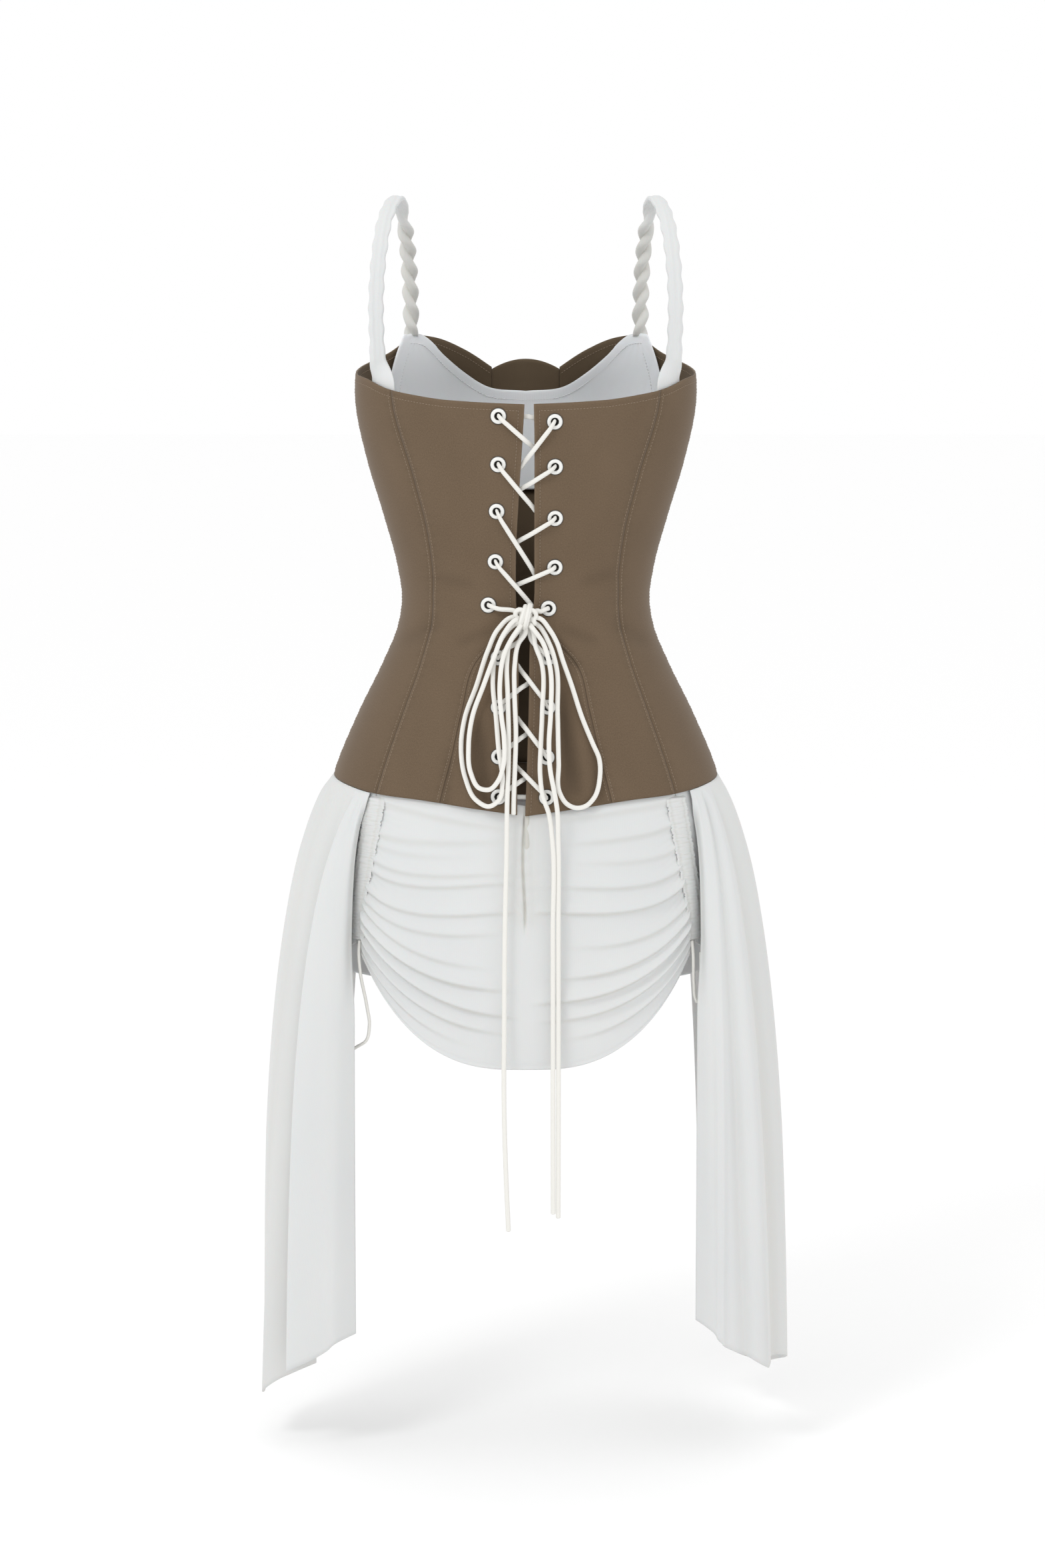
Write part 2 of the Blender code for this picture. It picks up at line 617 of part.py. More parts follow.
def build_lacing(lace):
    # Two runs from the top eyelets zigzag down to the knot, two from the lowest zigzag up to it.
    places = {-1: [row[:2] for row in eyelets], 1: [row[2:] for row in eyelets]}
    for first, word in ((-1, "left"), (1, "right")):
        side = first
        x, height = places[side][0]
        route = [(top_bar + side * 0.0002, height, behind_out)]
        route += through_eyelet(x, height, side)
        for number, (cross, top_run) in enumerate(upper_crossings):
            end = places[-side][number + 1]
            route += crossing_run(places[side][number], cross, top_run == side)
            side = -side
            route += through_eyelet(*end, side)
        x, height = places[side][4]
        route += [(x - side * 0.0034, height - 0.0010, 0.0048),
                  (x - side * 0.0080, height - 0.0028, 0.0062),
                  (side * 0.0083, knot_height + 0.0045, 0.0080)]
        points = on_back(route)
        end = knot_end(points[-1])
        tube(f"lace_upper_{word}", np.vstack([points[:-1], end[::-1]]), lace_radius, lace)
    for first, word in ((-1, "left"), (1, "right")):
        side = first
        x, height = places[side][8]
        route = [(bottom_bar + side * 0.0002, places[-1][8][1], behind_out)]
        route += through_eyelet(x, height, side)
        for number, (cross, top_run) in enumerate(reversed(lower_crossings)):
            end = places[-side][7 - number]
            route += crossing_run(places[side][8 - number], cross, top_run == side)
            side = -side
            route += through_eyelet(*end, side)
        x, height = places[side][5]
        route += [(x - side * 0.0034, height + 0.0030, 0.0048),
                  (x - side * 0.0080, height + 0.0075, 0.0042),
                  (side * 0.0052, knot_height - 0.0215, 0.0027),
                  (side * 0.0027, knot_height - 0.0086, 0.0024)]
        tube(f"lace_lower_{word}", on_back(route), lace_radius, lace)


def knot_end(spot):
    # A cord's last two points, square on the knot: just clear of it and a stub's length out.
    centre = body(0.0, knot_height, knot_out)
    reach = spot - centre
    reach /= np.linalg.norm(reach / knot_size)
    square = reach / knot_size ** 2
    square /= np.linalg.norm(square)
    return centre + reach + square * np.array([[seam_gap], [knot_stub]])


def build_bow(lace):
    centre = body(0.0, knot_height, knot_out)
    bpy.ops.mesh.primitive_uv_sphere_add(segments=10, ring_count=6, radius=1.0)
    knot = bpy.context.object
    mesh = knot.data
    mesh.transform(Matrix.Translation(Vector(centre)) @ Matrix.Diagonal((*knot_size, 1.0)))
    bpy.data.objects.remove(knot)
    add_object("lace_knot", mesh, lace)
    free = {
        "bow_loop_left_outer": bow_loop_left_outer,
        "bow_loop_left_inner": bow_loop_left_inner,
        "bow_loop_right": bow_loop_right,
        "lace_tail_left": tail_left,
        "lace_tail_left_short": tail_left_short,
        "lace_tail_right_inner": tail_right_inner,
        "lace_tail_right_outer": tail_right_outer,
    }
    for name, route in free.items():
        points = on_back(route)
        start = knot_end(points[0])
        end = knot_end(points[-1]) if "loop" in name else points[-1:]
        line = smooth_route(np.vstack([start[1], points[1:-1], end[-1]]), cord_spacing)
        tube(name, np.vstack([start[0], line, end[:-1]]), lace_radius, lace)


def build_camisole(jersey):
    # Inner bust layer: its neckline dips at the centre and rises to the strap feet.
    def edge(side):
        def line(height):
            angle = angle_at(column(camisole_side, 1, height), height, True)
            return angle if side > 0 else 2 * np.pi - angle
        return line

    def neck(angle):
        x = np.abs(plan(angle, -0.15)[..., 0])
        return np.interp(x, camisole_neckline[:, 0], camisole_neckline[:, 1])

    panel("camisole_bust", edge(1), edge(-1), lambda angle: camisole_foot + 0 * angle, neck, 14,
          np.linspace(0, 1, 6), jersey, jersey_wall, camisole_out)


def build_straps(jersey):
    for side, word in ((-1, "left"), (1, "right")):
        centre = smooth_route(strap_route * (side, 1, 1), strap_spacing)
        along = np.gradient(centre, axis=0)
        along /= np.linalg.norm(along, axis=1, keepdims=True)
        first = np.cross(along, (1.0, 0.0, 0.0))
        first /= np.linalg.norm(first, axis=1, keepdims=True)
        second = np.cross(along, first)
        share = np.linspace(0, 1, len(centre))
        turn = np.clip((share - strap_hold) / (1 - 2 * strap_hold), 0, 1)
        for strand in (0, 1):
            phase = side * 2 * np.pi * strap_turns * turn + np.pi * strand
            sway = np.cos(phase)[:, None] * second + np.sin(phase)[:, None] * first
            reach = strap_strand / math.cos(math.pi / 6) + 0.0002
            tube(f"strap_{word}_strand_{strand + 1}", centre + reach * sway, strap_strand,
                 jersey, 1)
        x, y, height = strap_route[-1]
        angle = float(angle_at(side * x, height))
        half = strap_tab_half / x
        panel(f"strap_tab_{word}", lambda h: angle - half + 0 * h, lambda h: angle + half + 0 * h,
              lambda a: strap_tab_low + 0 * a, lambda a: strap_tab_high + 0 * a, 3,
              np.linspace(0, 1, 3), jersey, jersey_wall, strap_tab_out)


def skirt_angle(side, inset=0.0):
    def line(height):
        angle = angle_at(side * column(ruched_seam, 1, height), height)
        return angle + inset / column(sections, 2, height)
    return line


def skirt_back_grid(columns):
    # Grid rows follow the swags, one row on each crest and one in each trough: nearly level at
    # the top, hanging to the curved hem.
    turn = np.linspace(-1, 1, columns + 1)[None, :]
    crests = swags[:, 0]
    troughs = np.concatenate([[0.5 * crests[0]], 0.5 * (crests[:-1] + crests[1:])])
    drop = np.concatenate([[0.0], np.sort(np.concatenate([crests, troughs])), [1.0]])[:, None]
    half = seam_gap / 2
    height = -0.6 + 0 * turn * drop
    for _ in range(12):
        left = skirt_angle(-1, half)(height)
        right = skirt_angle(1, -half)(height)
        angle = left + (right - left) * (turn + 1) / 2
        top = hem_height(angle) + skirt_overlap
        hem = skirt_back_drop + (skirt_side_foot - skirt_back_drop) * np.abs(turn) ** skirt_hem_power
        pulled = 1 - (1 - drop) ** skirt_foot_pull
        share = drop + (pulled - drop) * turn ** 2
        height = top + (hem - top) * share
    fade = np.clip((1 - np.abs(turn)) / 0.16, 0, 1)
    level = [middle + (edge - middle) * np.abs(turn) ** 1.5 for _, middle, edge in swags]
    rise = sum(np.where(drop == crest, fade * lift, 0) for crest, lift in zip(crests, level))
    return angle, height, rise


def build_skirt(jersey):
    angle, height, rise = skirt_back_grid(10)
    outer = body(angle, height, skirt_out + rise)[::-1]
    inner = body(angle, height, skirt_out + rise - jersey_wall)[::-1]
    shell("skirt_back", outer, inner, jersey)

    turn = np.linspace(-1, 1, 19)[None, :]
    drop = np.linspace(0, 1, 7)[:, None]
    height = -0.6 + 0 * turn * drop
    for _ in range(12):
        start = skirt_angle(1, skirt_seam_gap)(height)
        angle = np.pi + (np.pi - start) * turn
        top = hem_height_round(angle) + skirt_overlap
        hem = skirt_front_drop + (skirt_side_foot - skirt_front_drop) * np.abs(turn) ** 2
        height = top + (hem - top) * drop
    outer = body(angle, height, skirt_out)[::-1]
    inner = body(angle, height, skirt_out - jersey_wall)[::-1]
    shell("skirt_front", outer, inner, jersey)
    build_channels(jersey)


def build_channels(jersey):
    # Gathered drawstring channels laid on the skirt beside each ruched seam.
    upward = np.linspace(0, 1, channel_rows + 1)[:, None]
    across = np.linspace(0, 1, 3)[None, :]
    for side, word in ((-1, "left"), (1, "right")):
        height = channel_low + upward * (channel_high - channel_low) + 0 * across
        seam = skirt_angle(side)(height)
        reach = channel_width - (channel_width + channel_turn) * across
        reach = reach / column(ruched_seam, 1, height)
        angle = seam - reach if side > 0 else seam + reach[:, ::-1]
        gather = channel_gather * np.cos(np.pi * channel_rows / 2 * upward) * 4 * across * (1 - across)
        outer = body(angle, height, channel_out + gather)
        inner = body(angle, height, channel_out - channel_wall + 0 * gather)
        shell(f"ruching_channel_{word}", outer, inner, jersey)


def drape_grid(table, side, rows):
    # Hangs from the corset hem: each column leaves the hip and settles toward its hem place.
    stations = table[:, 0]
    between = 0.5 * (stations[:-1] + stations[1:])
    share = np.sort(np.concatenate([stations, between[:fold_stations]]))[None, :]
    down = (np.linspace(0, 1, rows + 1) ** 1.4)[:, None]
    angle = np.radians(column(table, 1, share))
    hem = [column(table, index, share) for index in (2, 3, 4)]
    settle = column(table, 5, share)
    top = hem_height(angle) - 0.0006
    height = top + (hem[2] - top) * down
    pull = (1 - np.exp(-settle * down)) / (1 - np.exp(-settle))
    hip = body(angle + 0 * height, np.maximum(height, -0.66), 0.0)
    wave = drape_wave * down * np.sin(np.pi * 7 * share)
    x = hip[..., 0] + (hem[0] + wave - hip[..., 0]) * pull
    y = hip[..., 1] + (hem[1] - wave - hip[..., 1]) * pull
    return np.stack([side * x, y, height], axis=-1)


def inward(grid, wall):
    # The same grid moved in along its own normals.
    across = np.gradient(grid, axis=1)
    up = np.gradient(grid, axis=0)
    normal = np.cross(across, up)
    normal /= np.linalg.norm(normal, axis=-1, keepdims=True)
    return grid - normal * wall


def build_drapes(jersey):
    for side, word, table in ((-1, "left", drape_left), (1, "right", drape_right)):
        grid = drape_grid(table, side, 8)[::-1]
        if side < 0:
            grid = grid[:, ::-1]
        shell(f"drape_{word}", grid, inward(grid, jersey_wall), jersey)


def build_drawstrings(lace):
    for word, route in (("left", drawstring_left), ("right", drawstring_right)):
        tube(f"drawstring_{word}", smooth_route(route, 0.0085), drawstring_radius, lace)


def build_dress():
    clear_scene()
    brown = make_material("suiting_brown", suiting_brown)
    jersey = make_material("jersey_white", jersey_white)
    lace = make_material("lace_white", lace_white)
    enamel = make_material("enamel_white", enamel_white)
    build_corset(brown)
    build_eyelets(enamel)
    build_camisole(jersey)
    build_straps(jersey)
    build_skirt(jersey)
    build_drapes(jersey)
    build_lacing(lace)
    build_bow(lace)
    build_drawstrings(lace)


build_dress()
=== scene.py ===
# Corset dress, filled out: laced brown corset, twisted straps, ruched skirt, two side drapes.
# Metres. +Z is up, -Y is the laced back and +X the wearer's right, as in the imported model.
import math

import bpy
import numpy as np
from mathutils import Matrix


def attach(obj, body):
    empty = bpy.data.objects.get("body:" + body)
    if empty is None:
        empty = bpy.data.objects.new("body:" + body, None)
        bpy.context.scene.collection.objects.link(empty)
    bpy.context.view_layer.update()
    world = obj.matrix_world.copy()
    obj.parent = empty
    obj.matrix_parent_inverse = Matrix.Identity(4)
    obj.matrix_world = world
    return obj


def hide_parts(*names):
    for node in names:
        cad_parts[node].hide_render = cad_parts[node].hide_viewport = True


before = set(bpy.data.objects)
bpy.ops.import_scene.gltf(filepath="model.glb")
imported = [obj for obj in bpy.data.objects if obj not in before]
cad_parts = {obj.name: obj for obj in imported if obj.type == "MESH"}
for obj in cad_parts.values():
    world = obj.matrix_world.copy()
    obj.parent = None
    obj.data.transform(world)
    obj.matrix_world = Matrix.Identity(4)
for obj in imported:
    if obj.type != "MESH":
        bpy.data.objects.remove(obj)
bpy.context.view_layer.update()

print("frame loaded:", len(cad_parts), "nodes")

view = {"distance": 3.6, "tilt": 7.0, "target": (-0.003, 0.0, -0.5475), "lens": 132.24}


def addCamera():
    # Level with the middle of the dress, looking 7 degrees down at the laced back.
    data = bpy.data.cameras.new("photoCamera")
    data.sensor_fit = "HORIZONTAL"
    data.lens = view["lens"]
    camera = bpy.data.objects.new("photoCamera", data)
    tilt = math.radians(view["tilt"])
    x, y, z = view["target"]
    camera.location = (x, y - view["distance"] * math.cos(tilt), z + view["distance"] * math.sin(tilt))
    camera.rotation_euler = (math.pi / 2 - tilt, 0.0, 0.0)
    bpy.context.scene.collection.objects.link(camera)
    bpy.context.scene.camera = camera


addCamera()

# The dress's own form, with the same tables as the solids.
# Height, half width, depth to the back, depth to the front
sections = np.array([
    (-0.820, 0.1760, 0.112, 0.098), (-0.740, 0.1840, 0.119, 0.102), (-0.660, 0.1890, 0.121, 0.104),
    (-0.600, 0.1880, 0.120, 0.105), (-0.544, 0.1815, 0.117, 0.105), (-0.481, 0.1570, 0.105, 0.098),
    (-0.431, 0.1325, 0.091, 0.089), (-0.400, 0.1196, 0.0845, 0.084), (-0.372, 0.1152, 0.0815, 0.082),
    (-0.344, 0.1189, 0.0825, 0.084), (-0.294, 0.1323, 0.088, 0.090), (-0.245, 0.1469, 0.092, 0.096),
    (-0.190, 0.1578, 0.094, 0.100), (-0.140, 0.1560, 0.090, 0.096),
])
# Degrees round from the centre back, height
topEdge = np.array([
    (0.0, -0.1910), (31.0, -0.1885), (43.0, -0.1866), (53.5, -0.1830), (64.0, -0.1780),
    (75.0, -0.1690), (90.0, -0.1640), (99.0, -0.1590), (114.5, -0.1468), (126.0, -0.1305),
    (133.0, -0.1316), (147.0, -0.1429), (163.0, -0.1618),
])
hemEdge = np.array([
    (0.0, -0.5625), (24.0, -0.5555), (43.0, -0.5495), (60.0, -0.5460), (75.0, -0.5400),
    (90.0, -0.5360), (120.0, -0.5380), (180.0, -0.5480),
])
# Height, left edge, right edge along the lacing
lacingEdge = np.array([
    (-0.565, -0.0079, -0.0006), (-0.510, -0.0079, 0.0014), (-0.455, -0.0067, 0.0030),
    (-0.405, -0.0073, 0.0040), (-0.365, -0.0091, 0.0079), (-0.329, -0.0091, 0.0079),
    (-0.270, -0.0061, 0.0079), (-0.222, -0.0030, 0.0079), (-0.190, -0.0012, 0.0073),
])
# Height, gore seam, side back seam, side front seam, centre front seam
seams = np.array([
    (-0.565, 0.0815, 0.1420, 0.124, 0.045), (-0.545, 0.0770, 0.1370, 0.118, 0.044),
    (-0.510, 0.0677, 0.1260, 0.108, 0.040), (-0.468, 0.0580, 0.1110, 0.093, 0.035),
    (-0.426, 0.0460, 0.0960, 0.081, 0.030), (-0.389, 0.0125, 0.0868, 0.073, 0.028),
    (-0.348, 0.0110, 0.0855, 0.074, 0.028), (-0.307, 0.0110, 0.0905, 0.082, 0.029),
    (-0.257, 0.0110, 0.1030, 0.093, 0.030), (-0.190, 0.0110, 0.1220, 0.103, 0.032),
    (-0.130, 0.0110, 0.1240, 0.106, 0.032),
])
# Left x, left height, right x, right height
eyeletPlaces = (
    (-0.0248, -0.2016, 0.0262, -0.2066), (-0.0251, -0.2452, 0.0265, -0.2473),
    (-0.0264, -0.2877, 0.0266, -0.2940), (-0.0276, -0.3337, 0.0264, -0.3389),
    (-0.0341, -0.3735, 0.0206, -0.3764), (-0.0250, -0.4210, 0.0203, -0.4210),
    (-0.0248, -0.4650, 0.0200, -0.4650), (-0.0245, -0.5090, 0.0190, -0.5095),
    (-0.0248, -0.5450, 0.0190, -0.5455),
)
form = {"roundness": 2.2, "cupRise": 0.022, "cupPlace": (0.074, -0.205), "cupSpread": (0.050, 0.055)}


def curveAt(table, index, key):
    # Cubic pieces through a column; the slope at a row is the mean of the slopes beside it.
    keys, values = table[:, 0], table[:, index]
    slopes = np.gradient(values, keys)
    key = np.clip(key, keys[0], keys[-1])
    row = np.clip(np.searchsorted(keys, key) - 1, 0, len(keys) - 2)
    step = keys[row + 1] - keys[row]
    t = (key - keys[row]) / step
    start = values[row] * (1 + 2 * t) * (1 - t) ** 2 + slopes[row] * step * t * (1 - t) ** 2
    return start + values[row + 1] * t * t * (3 - 2 * t) - slopes[row + 1] * step * t * t * (1 - t)


def smoothStep(low, high, value):
    share = np.clip((value - low) / (high - low), 0, 1)
    return share * share * (3 - 2 * share)


def plan(angle, height):
    # |x / side|^r + |y / depth|^r = 1 at each height, plus a bell-shaped rise for each cup.
    angle = np.asarray(angle, dtype=float)
    height = np.asarray(height, dtype=float) + 0 * angle
    side = curveAt(sections, 1, height)
    depth = np.where(np.cos(angle) > 0, curveAt(sections, 2, height), curveAt(sections, 3, height))
    power = form["roundness"]
    reach = ((np.abs(np.sin(angle)) / side) ** power + (np.abs(np.cos(angle)) / depth) ** power) ** (-1 / power)
    x = reach * np.sin(angle)
    level = ((np.abs(x) - form["cupPlace"][0]) / form["cupSpread"][0]) ** 2
    cup = form["cupRise"] * np.exp(-level - ((height - form["cupPlace"][1]) / form["cupSpread"][1]) ** 2)
    return np.stack([x, -reach * np.cos(angle) + cup * np.clip(-np.cos(angle), 0, 1), height], axis=-1)


def bodyNormal(angle, height):
    # Cross product of the form's two directions, taken over a tenth of a millimetre.
    across = plan(angle + 1e-4, height) - plan(angle - 1e-4, height)
    upward = plan(angle, height + 1e-4) - plan(angle, height - 1e-4)
    normal = np.cross(across, upward)
    return normal / np.linalg.norm(normal, axis=-1, keepdims=True)


def body(angle, height, out=0.0):
    # The form's point, moved out along its normal.
    height = np.asarray(height, dtype=float) + 0 * np.asarray(angle, dtype=float)
    out = np.asarray(out, dtype=float) + 0 * height
    return plan(angle, height) + bodyNormal(angle, height) * out[..., None]


def angleAt(x, height, front=False):
    # The angle where the form has this x.
    side = curveAt(sections, 1, height)
    depth = curveAt(sections, 3 if front else 2, height)
    power = form["roundness"]
    y = depth * (1 - np.clip(np.abs(x) / side, 0, 1) ** power) ** (1 / power)
    angle = np.arctan2(np.abs(x), y)
    return np.sign(x) * (np.pi - angle if front else angle)


def onBack(route):
    # Rows of x, height and distance out, as points over the back.
    rows = np.array(route, dtype=float)
    return body(angleAt(rows[:, 0], rows[:, 1]), rows[:, 1], rows[:, 2])


def turned(angle):
    return np.degrees(np.pi - np.abs(np.pi - np.abs(angle)))


def topHeight(angle):
    return curveAt(topEdge, 1, turned(angle))


def hemHeight(angle):
    return curveAt(hemEdge, 1, turned(angle))


def spread(left, right, bottom, top, across, upward):
    # Angles and heights between two side lines and two edges, settled in twelve rounds.
    height = np.full((len(upward), len(across)), 0.5 * (bottom(0.0) + top(0.0)))
    for _ in range(12):
        angle = left(height) + (right(height) - left(height)) * across[None, :]
        height = bottom(angle) + (top(angle) - bottom(angle)) * upward[:, None]
    return angle, height


# Meshes

def addPiece(name, points, quads, material, uv, fields=None, caps=(), nodes=()):
    # One mesh from whole arrays: points, four-sided faces, then the flat caps of tubes.
    quads = np.asarray(quads, dtype=np.int32)
    loops = np.concatenate([quads.ravel()] + [np.asarray(cap, dtype=np.int32) for cap in caps])
    starts = np.concatenate([np.arange(len(quads)) * 4, 4 * len(quads) + np.cumsum([0] + [len(c) for c in caps])[:-1]])
    mesh = bpy.data.meshes.new(name)
    mesh.vertices.add(len(points))
    mesh.vertices.foreach_set("co", np.asarray(points, dtype=np.float32).ravel())
    mesh.loops.add(len(loops))
    mesh.loops.foreach_set("vertex_index", loops)
    mesh.polygons.add(len(starts))
    mesh.polygons.foreach_set("loop_start", starts.astype(np.int32))
    mesh.update(calc_edges=True)
    layer = mesh.uv_layers.new(name="cloth")
    layer.data.foreach_set("uv", np.asarray(uv, dtype=np.float32)[loops].ravel())
    for key, values in (fields or {}).items():
        made = mesh.attributes.new(key, "FLOAT", "POINT")
        made.data.foreach_set("value", np.asarray(values, dtype=np.float32).ravel())
    mesh.shade_smooth()
    mesh.materials.append(material)
    piece = bpy.data.objects.new(name, mesh)
    bpy.context.scene.collection.objects.link(piece)
    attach(piece, "root")
    if nodes:
        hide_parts(*nodes)
    return piece


def clothUv(points):
    # Distance across from the middle column, and the mean distance up, both in metres.
    across = np.cumsum(np.linalg.norm(np.diff(points, axis=1, prepend=points[:, :1]), axis=2), axis=1)
    upward = np.cumsum(np.linalg.norm(np.diff(points, axis=0, prepend=points[:1]), axis=2).mean(axis=1))
    across -= across[:, points.shape[1] // 2][:, None]
    return np.stack([across, upward[:, None] + 0 * across], axis=-1)


def gridNormals(points):
    across = np.gradient(points, axis=1)
    normal = np.cross(across, np.gradient(points, axis=0))
    return normal / np.maximum(np.linalg.norm(normal, axis=-1, keepdims=True), 1e-12)


def clothShell(name, outer, inner, material, fields=None, keep=None, bulge=0.00025, nodes=()):
    # Two matching grids and a rounded rim. Where a cell is left out, the rim goes round the hole:
    # an edge is on the rim when no kept cell has the same edge the other way.
    rows, columns = outer.shape[:2]
    count = rows * columns
    index = np.arange(count).reshape(rows, columns)
    cells = np.stack([index[:-1, :-1], index[:-1, 1:], index[1:, 1:], index[1:, :-1]], axis=-1).reshape(-1, 4)
    if keep is not None:
        cells = cells[keep.ravel()]
    edges = np.stack([cells, np.roll(cells, -1, axis=1)], axis=-1).reshape(-1, 2).astype(np.int64)
    rim = edges[~np.isin(edges[:, 1] * count + edges[:, 0], edges[:, 0] * count + edges[:, 1])]
    front, back = outer.reshape(-1, 3), inner.reshape(-1, 3)
    along = front[rim[:, 1]] - front[rim[:, 0]]
    away = np.cross(along, front[rim[:, 0]] - back[rim[:, 0]])
    away /= np.maximum(np.linalg.norm(away, axis=1, keepdims=True), 1e-12)
    push = np.zeros_like(front)
    np.add.at(push, rim[:, 0], away)
    np.add.at(push, rim[:, 1], away)
    used = np.unique(rim)
    push = push[used] / np.maximum(np.linalg.norm(push[used], axis=1, keepdims=True), 1e-12)
    middle = 0.5 * (front[used] + back[used]) + bulge * push
    place = np.zeros(count, dtype=np.int64)
    place[used] = 2 * count + np.arange(len(used))
    a, b = rim[:, 0], rim[:, 1]
    walls = np.concatenate([np.stack([b, a, place[a], place[b]], axis=-1),
                            np.stack([place[b], place[a], a + count, b + count], axis=-1)])
    quads = np.concatenate([cells, cells[:, ::-1] + count, walls])
    points = np.concatenate([front, back, middle])
    uv = clothUv(outer).reshape(-1, 2)
    values = {key: np.concatenate([field.ravel(), field.ravel(), field.ravel()[used]])
              for key, field in (fields or {}).items()}
    values["inside"] = np.concatenate([np.zeros(count), np.ones(count), np.full(len(used), 0.3)])
    # The brown facing band, partly painted shade, goes on inner faces only.
    if "facing" in values:
        values["facing"] = values["facing"] * values["inside"]
    # Points that no face uses, such as those inside an eyelet's hole, are dropped.
    wanted = np.unique(quads)
    fresh = np.zeros(len(points), dtype=np.int64)
    fresh[wanted] = np.arange(len(wanted))
    uv = np.concatenate([uv, uv, uv[used]])[wanted]
    values = {key: field[wanted] for key, field in values.items()}
    return addPiece(name, points[wanted], fresh[quads], material, uv, values, (), nodes)


def smoothRoute(points, spacing):
    # Evenly spaced points on the cubic curve through the route's own points.
    points = np.asarray(points, dtype=float)
    lengths = np.concatenate([[0], np.cumsum(np.linalg.norm(np.diff(points, axis=0), axis=1))])
    table = np.column_stack([lengths, points])
    keys = np.linspace(0, lengths[-1], 1500)
    fine = np.stack([curveAt(table, axis, keys) for axis in (1, 2, 3)], axis=-1)
    along = np.concatenate([[0], np.cumsum(np.linalg.norm(np.diff(fine, axis=0), axis=1))])
    places = np.linspace(0, along[-1], max(2, round(along[-1] / spacing) + 1))
    return np.stack([np.interp(places, along, fine[:, axis]) for axis in range(3)], axis=-1)


def carried(path, lead):
    # Frames along a path: each thin direction is the last one made square to the new direction
    # and eased toward the lead direction.
    along = np.gradient(path, axis=0)
    along /= np.linalg.norm(along, axis=1, keepdims=True)
    lead = np.asarray(lead, dtype=float)
    thin = np.zeros_like(path)
    last = lead - along[0] * (lead @ along[0])
    if np.linalg.norm(last) < 0.2:
        last = np.cross(along[0], (1.0, 0.0, 0.0))
    for number, way in enumerate(along):
        square = lead - way * (lead @ way)
        last = last - way * (last @ way)
        last = last / np.linalg.norm(last)
        last = last + (0.2 if last @ square > 0 else -0.2) * square
        last = last / np.linalg.norm(last)
        thin[number] = last
    return along, thin, np.cross(along, thin)


def addTube(name, path, width, thick, material, sides=12, lead=(0, -1, 0), nodes=()):
    # Oval section carried along the path, drawn in to a round end: radius times sin of the way in.
    lengths = np.concatenate([[0], np.cumsum(np.linalg.norm(np.diff(path, axis=0), axis=1))])
    nib = 0.5 * thick
    turn = np.linspace(0.12, np.pi / 2, 5)
    start = nib * (1 - np.cos(turn))
    inner = np.linspace(nib, lengths[-1] - nib, max(3, round((lengths[-1] - 2 * nib) / 0.0016)))[1:-1]
    places = np.concatenate([start, inner, lengths[-1] - start[::-1]])
    scale = np.concatenate([np.sin(turn), np.ones(len(inner)), np.sin(turn)[::-1]])
    centre = np.stack([np.interp(places, lengths, path[:, axis]) for axis in range(3)], axis=-1)
    _, thin, wide = carried(centre, lead)
    round_ = np.linspace(0, 2 * np.pi, sides, endpoint=False)[None, :, None]
    shape = 0.5 * width * np.cos(round_) * wide[:, None] - 0.5 * thick * np.sin(round_) * thin[:, None]
    points = centre[:, None] + scale[:, None, None] * shape
    index = np.arange(len(places) * sides).reshape(len(places), sides)
    after = np.roll(index, -1, axis=1)
    quads = np.stack([index[:-1], after[:-1], after[1:], index[1:]], axis=-1).reshape(-1, 4)
    around = np.linspace(0, 0.5 * np.pi * (width + thick) / 2 * 2, sides, endpoint=False)
    uv = np.stack([around[None, :] + 0 * places[:, None], places[:, None] + 0 * around[None, :]], axis=-1)
    caps = (index[0][::-1], index[-1])
    return addPiece(name, points.reshape(-1, 3), quads, material, uv.reshape(-1, 2), None, caps, nodes)


# Shading

class Tone:
    # A shader socket that reads as a number in expressions.
    def __init__(self, paint, socket):
        self.paint, self.socket = paint, socket

    def __add__(self, other):
        return self.paint.maths("ADD", self, other)

    def __radd__(self, other):
        return self.paint.maths("ADD", other, self)

    def __sub__(self, other):
        return self.paint.maths("SUBTRACT", self, other)

    def __rsub__(self, other):
        return self.paint.maths("SUBTRACT", other, self)

    def __mul__(self, other):
        return self.paint.maths("MULTIPLY", self, other)

    def __rmul__(self, other):
        return self.paint.maths("MULTIPLY", other, self)

    def __truediv__(self, other):
        return self.paint.maths("DIVIDE", self, other)

    def __pow__(self, other):
        return self.paint.maths("POWER", self, other)


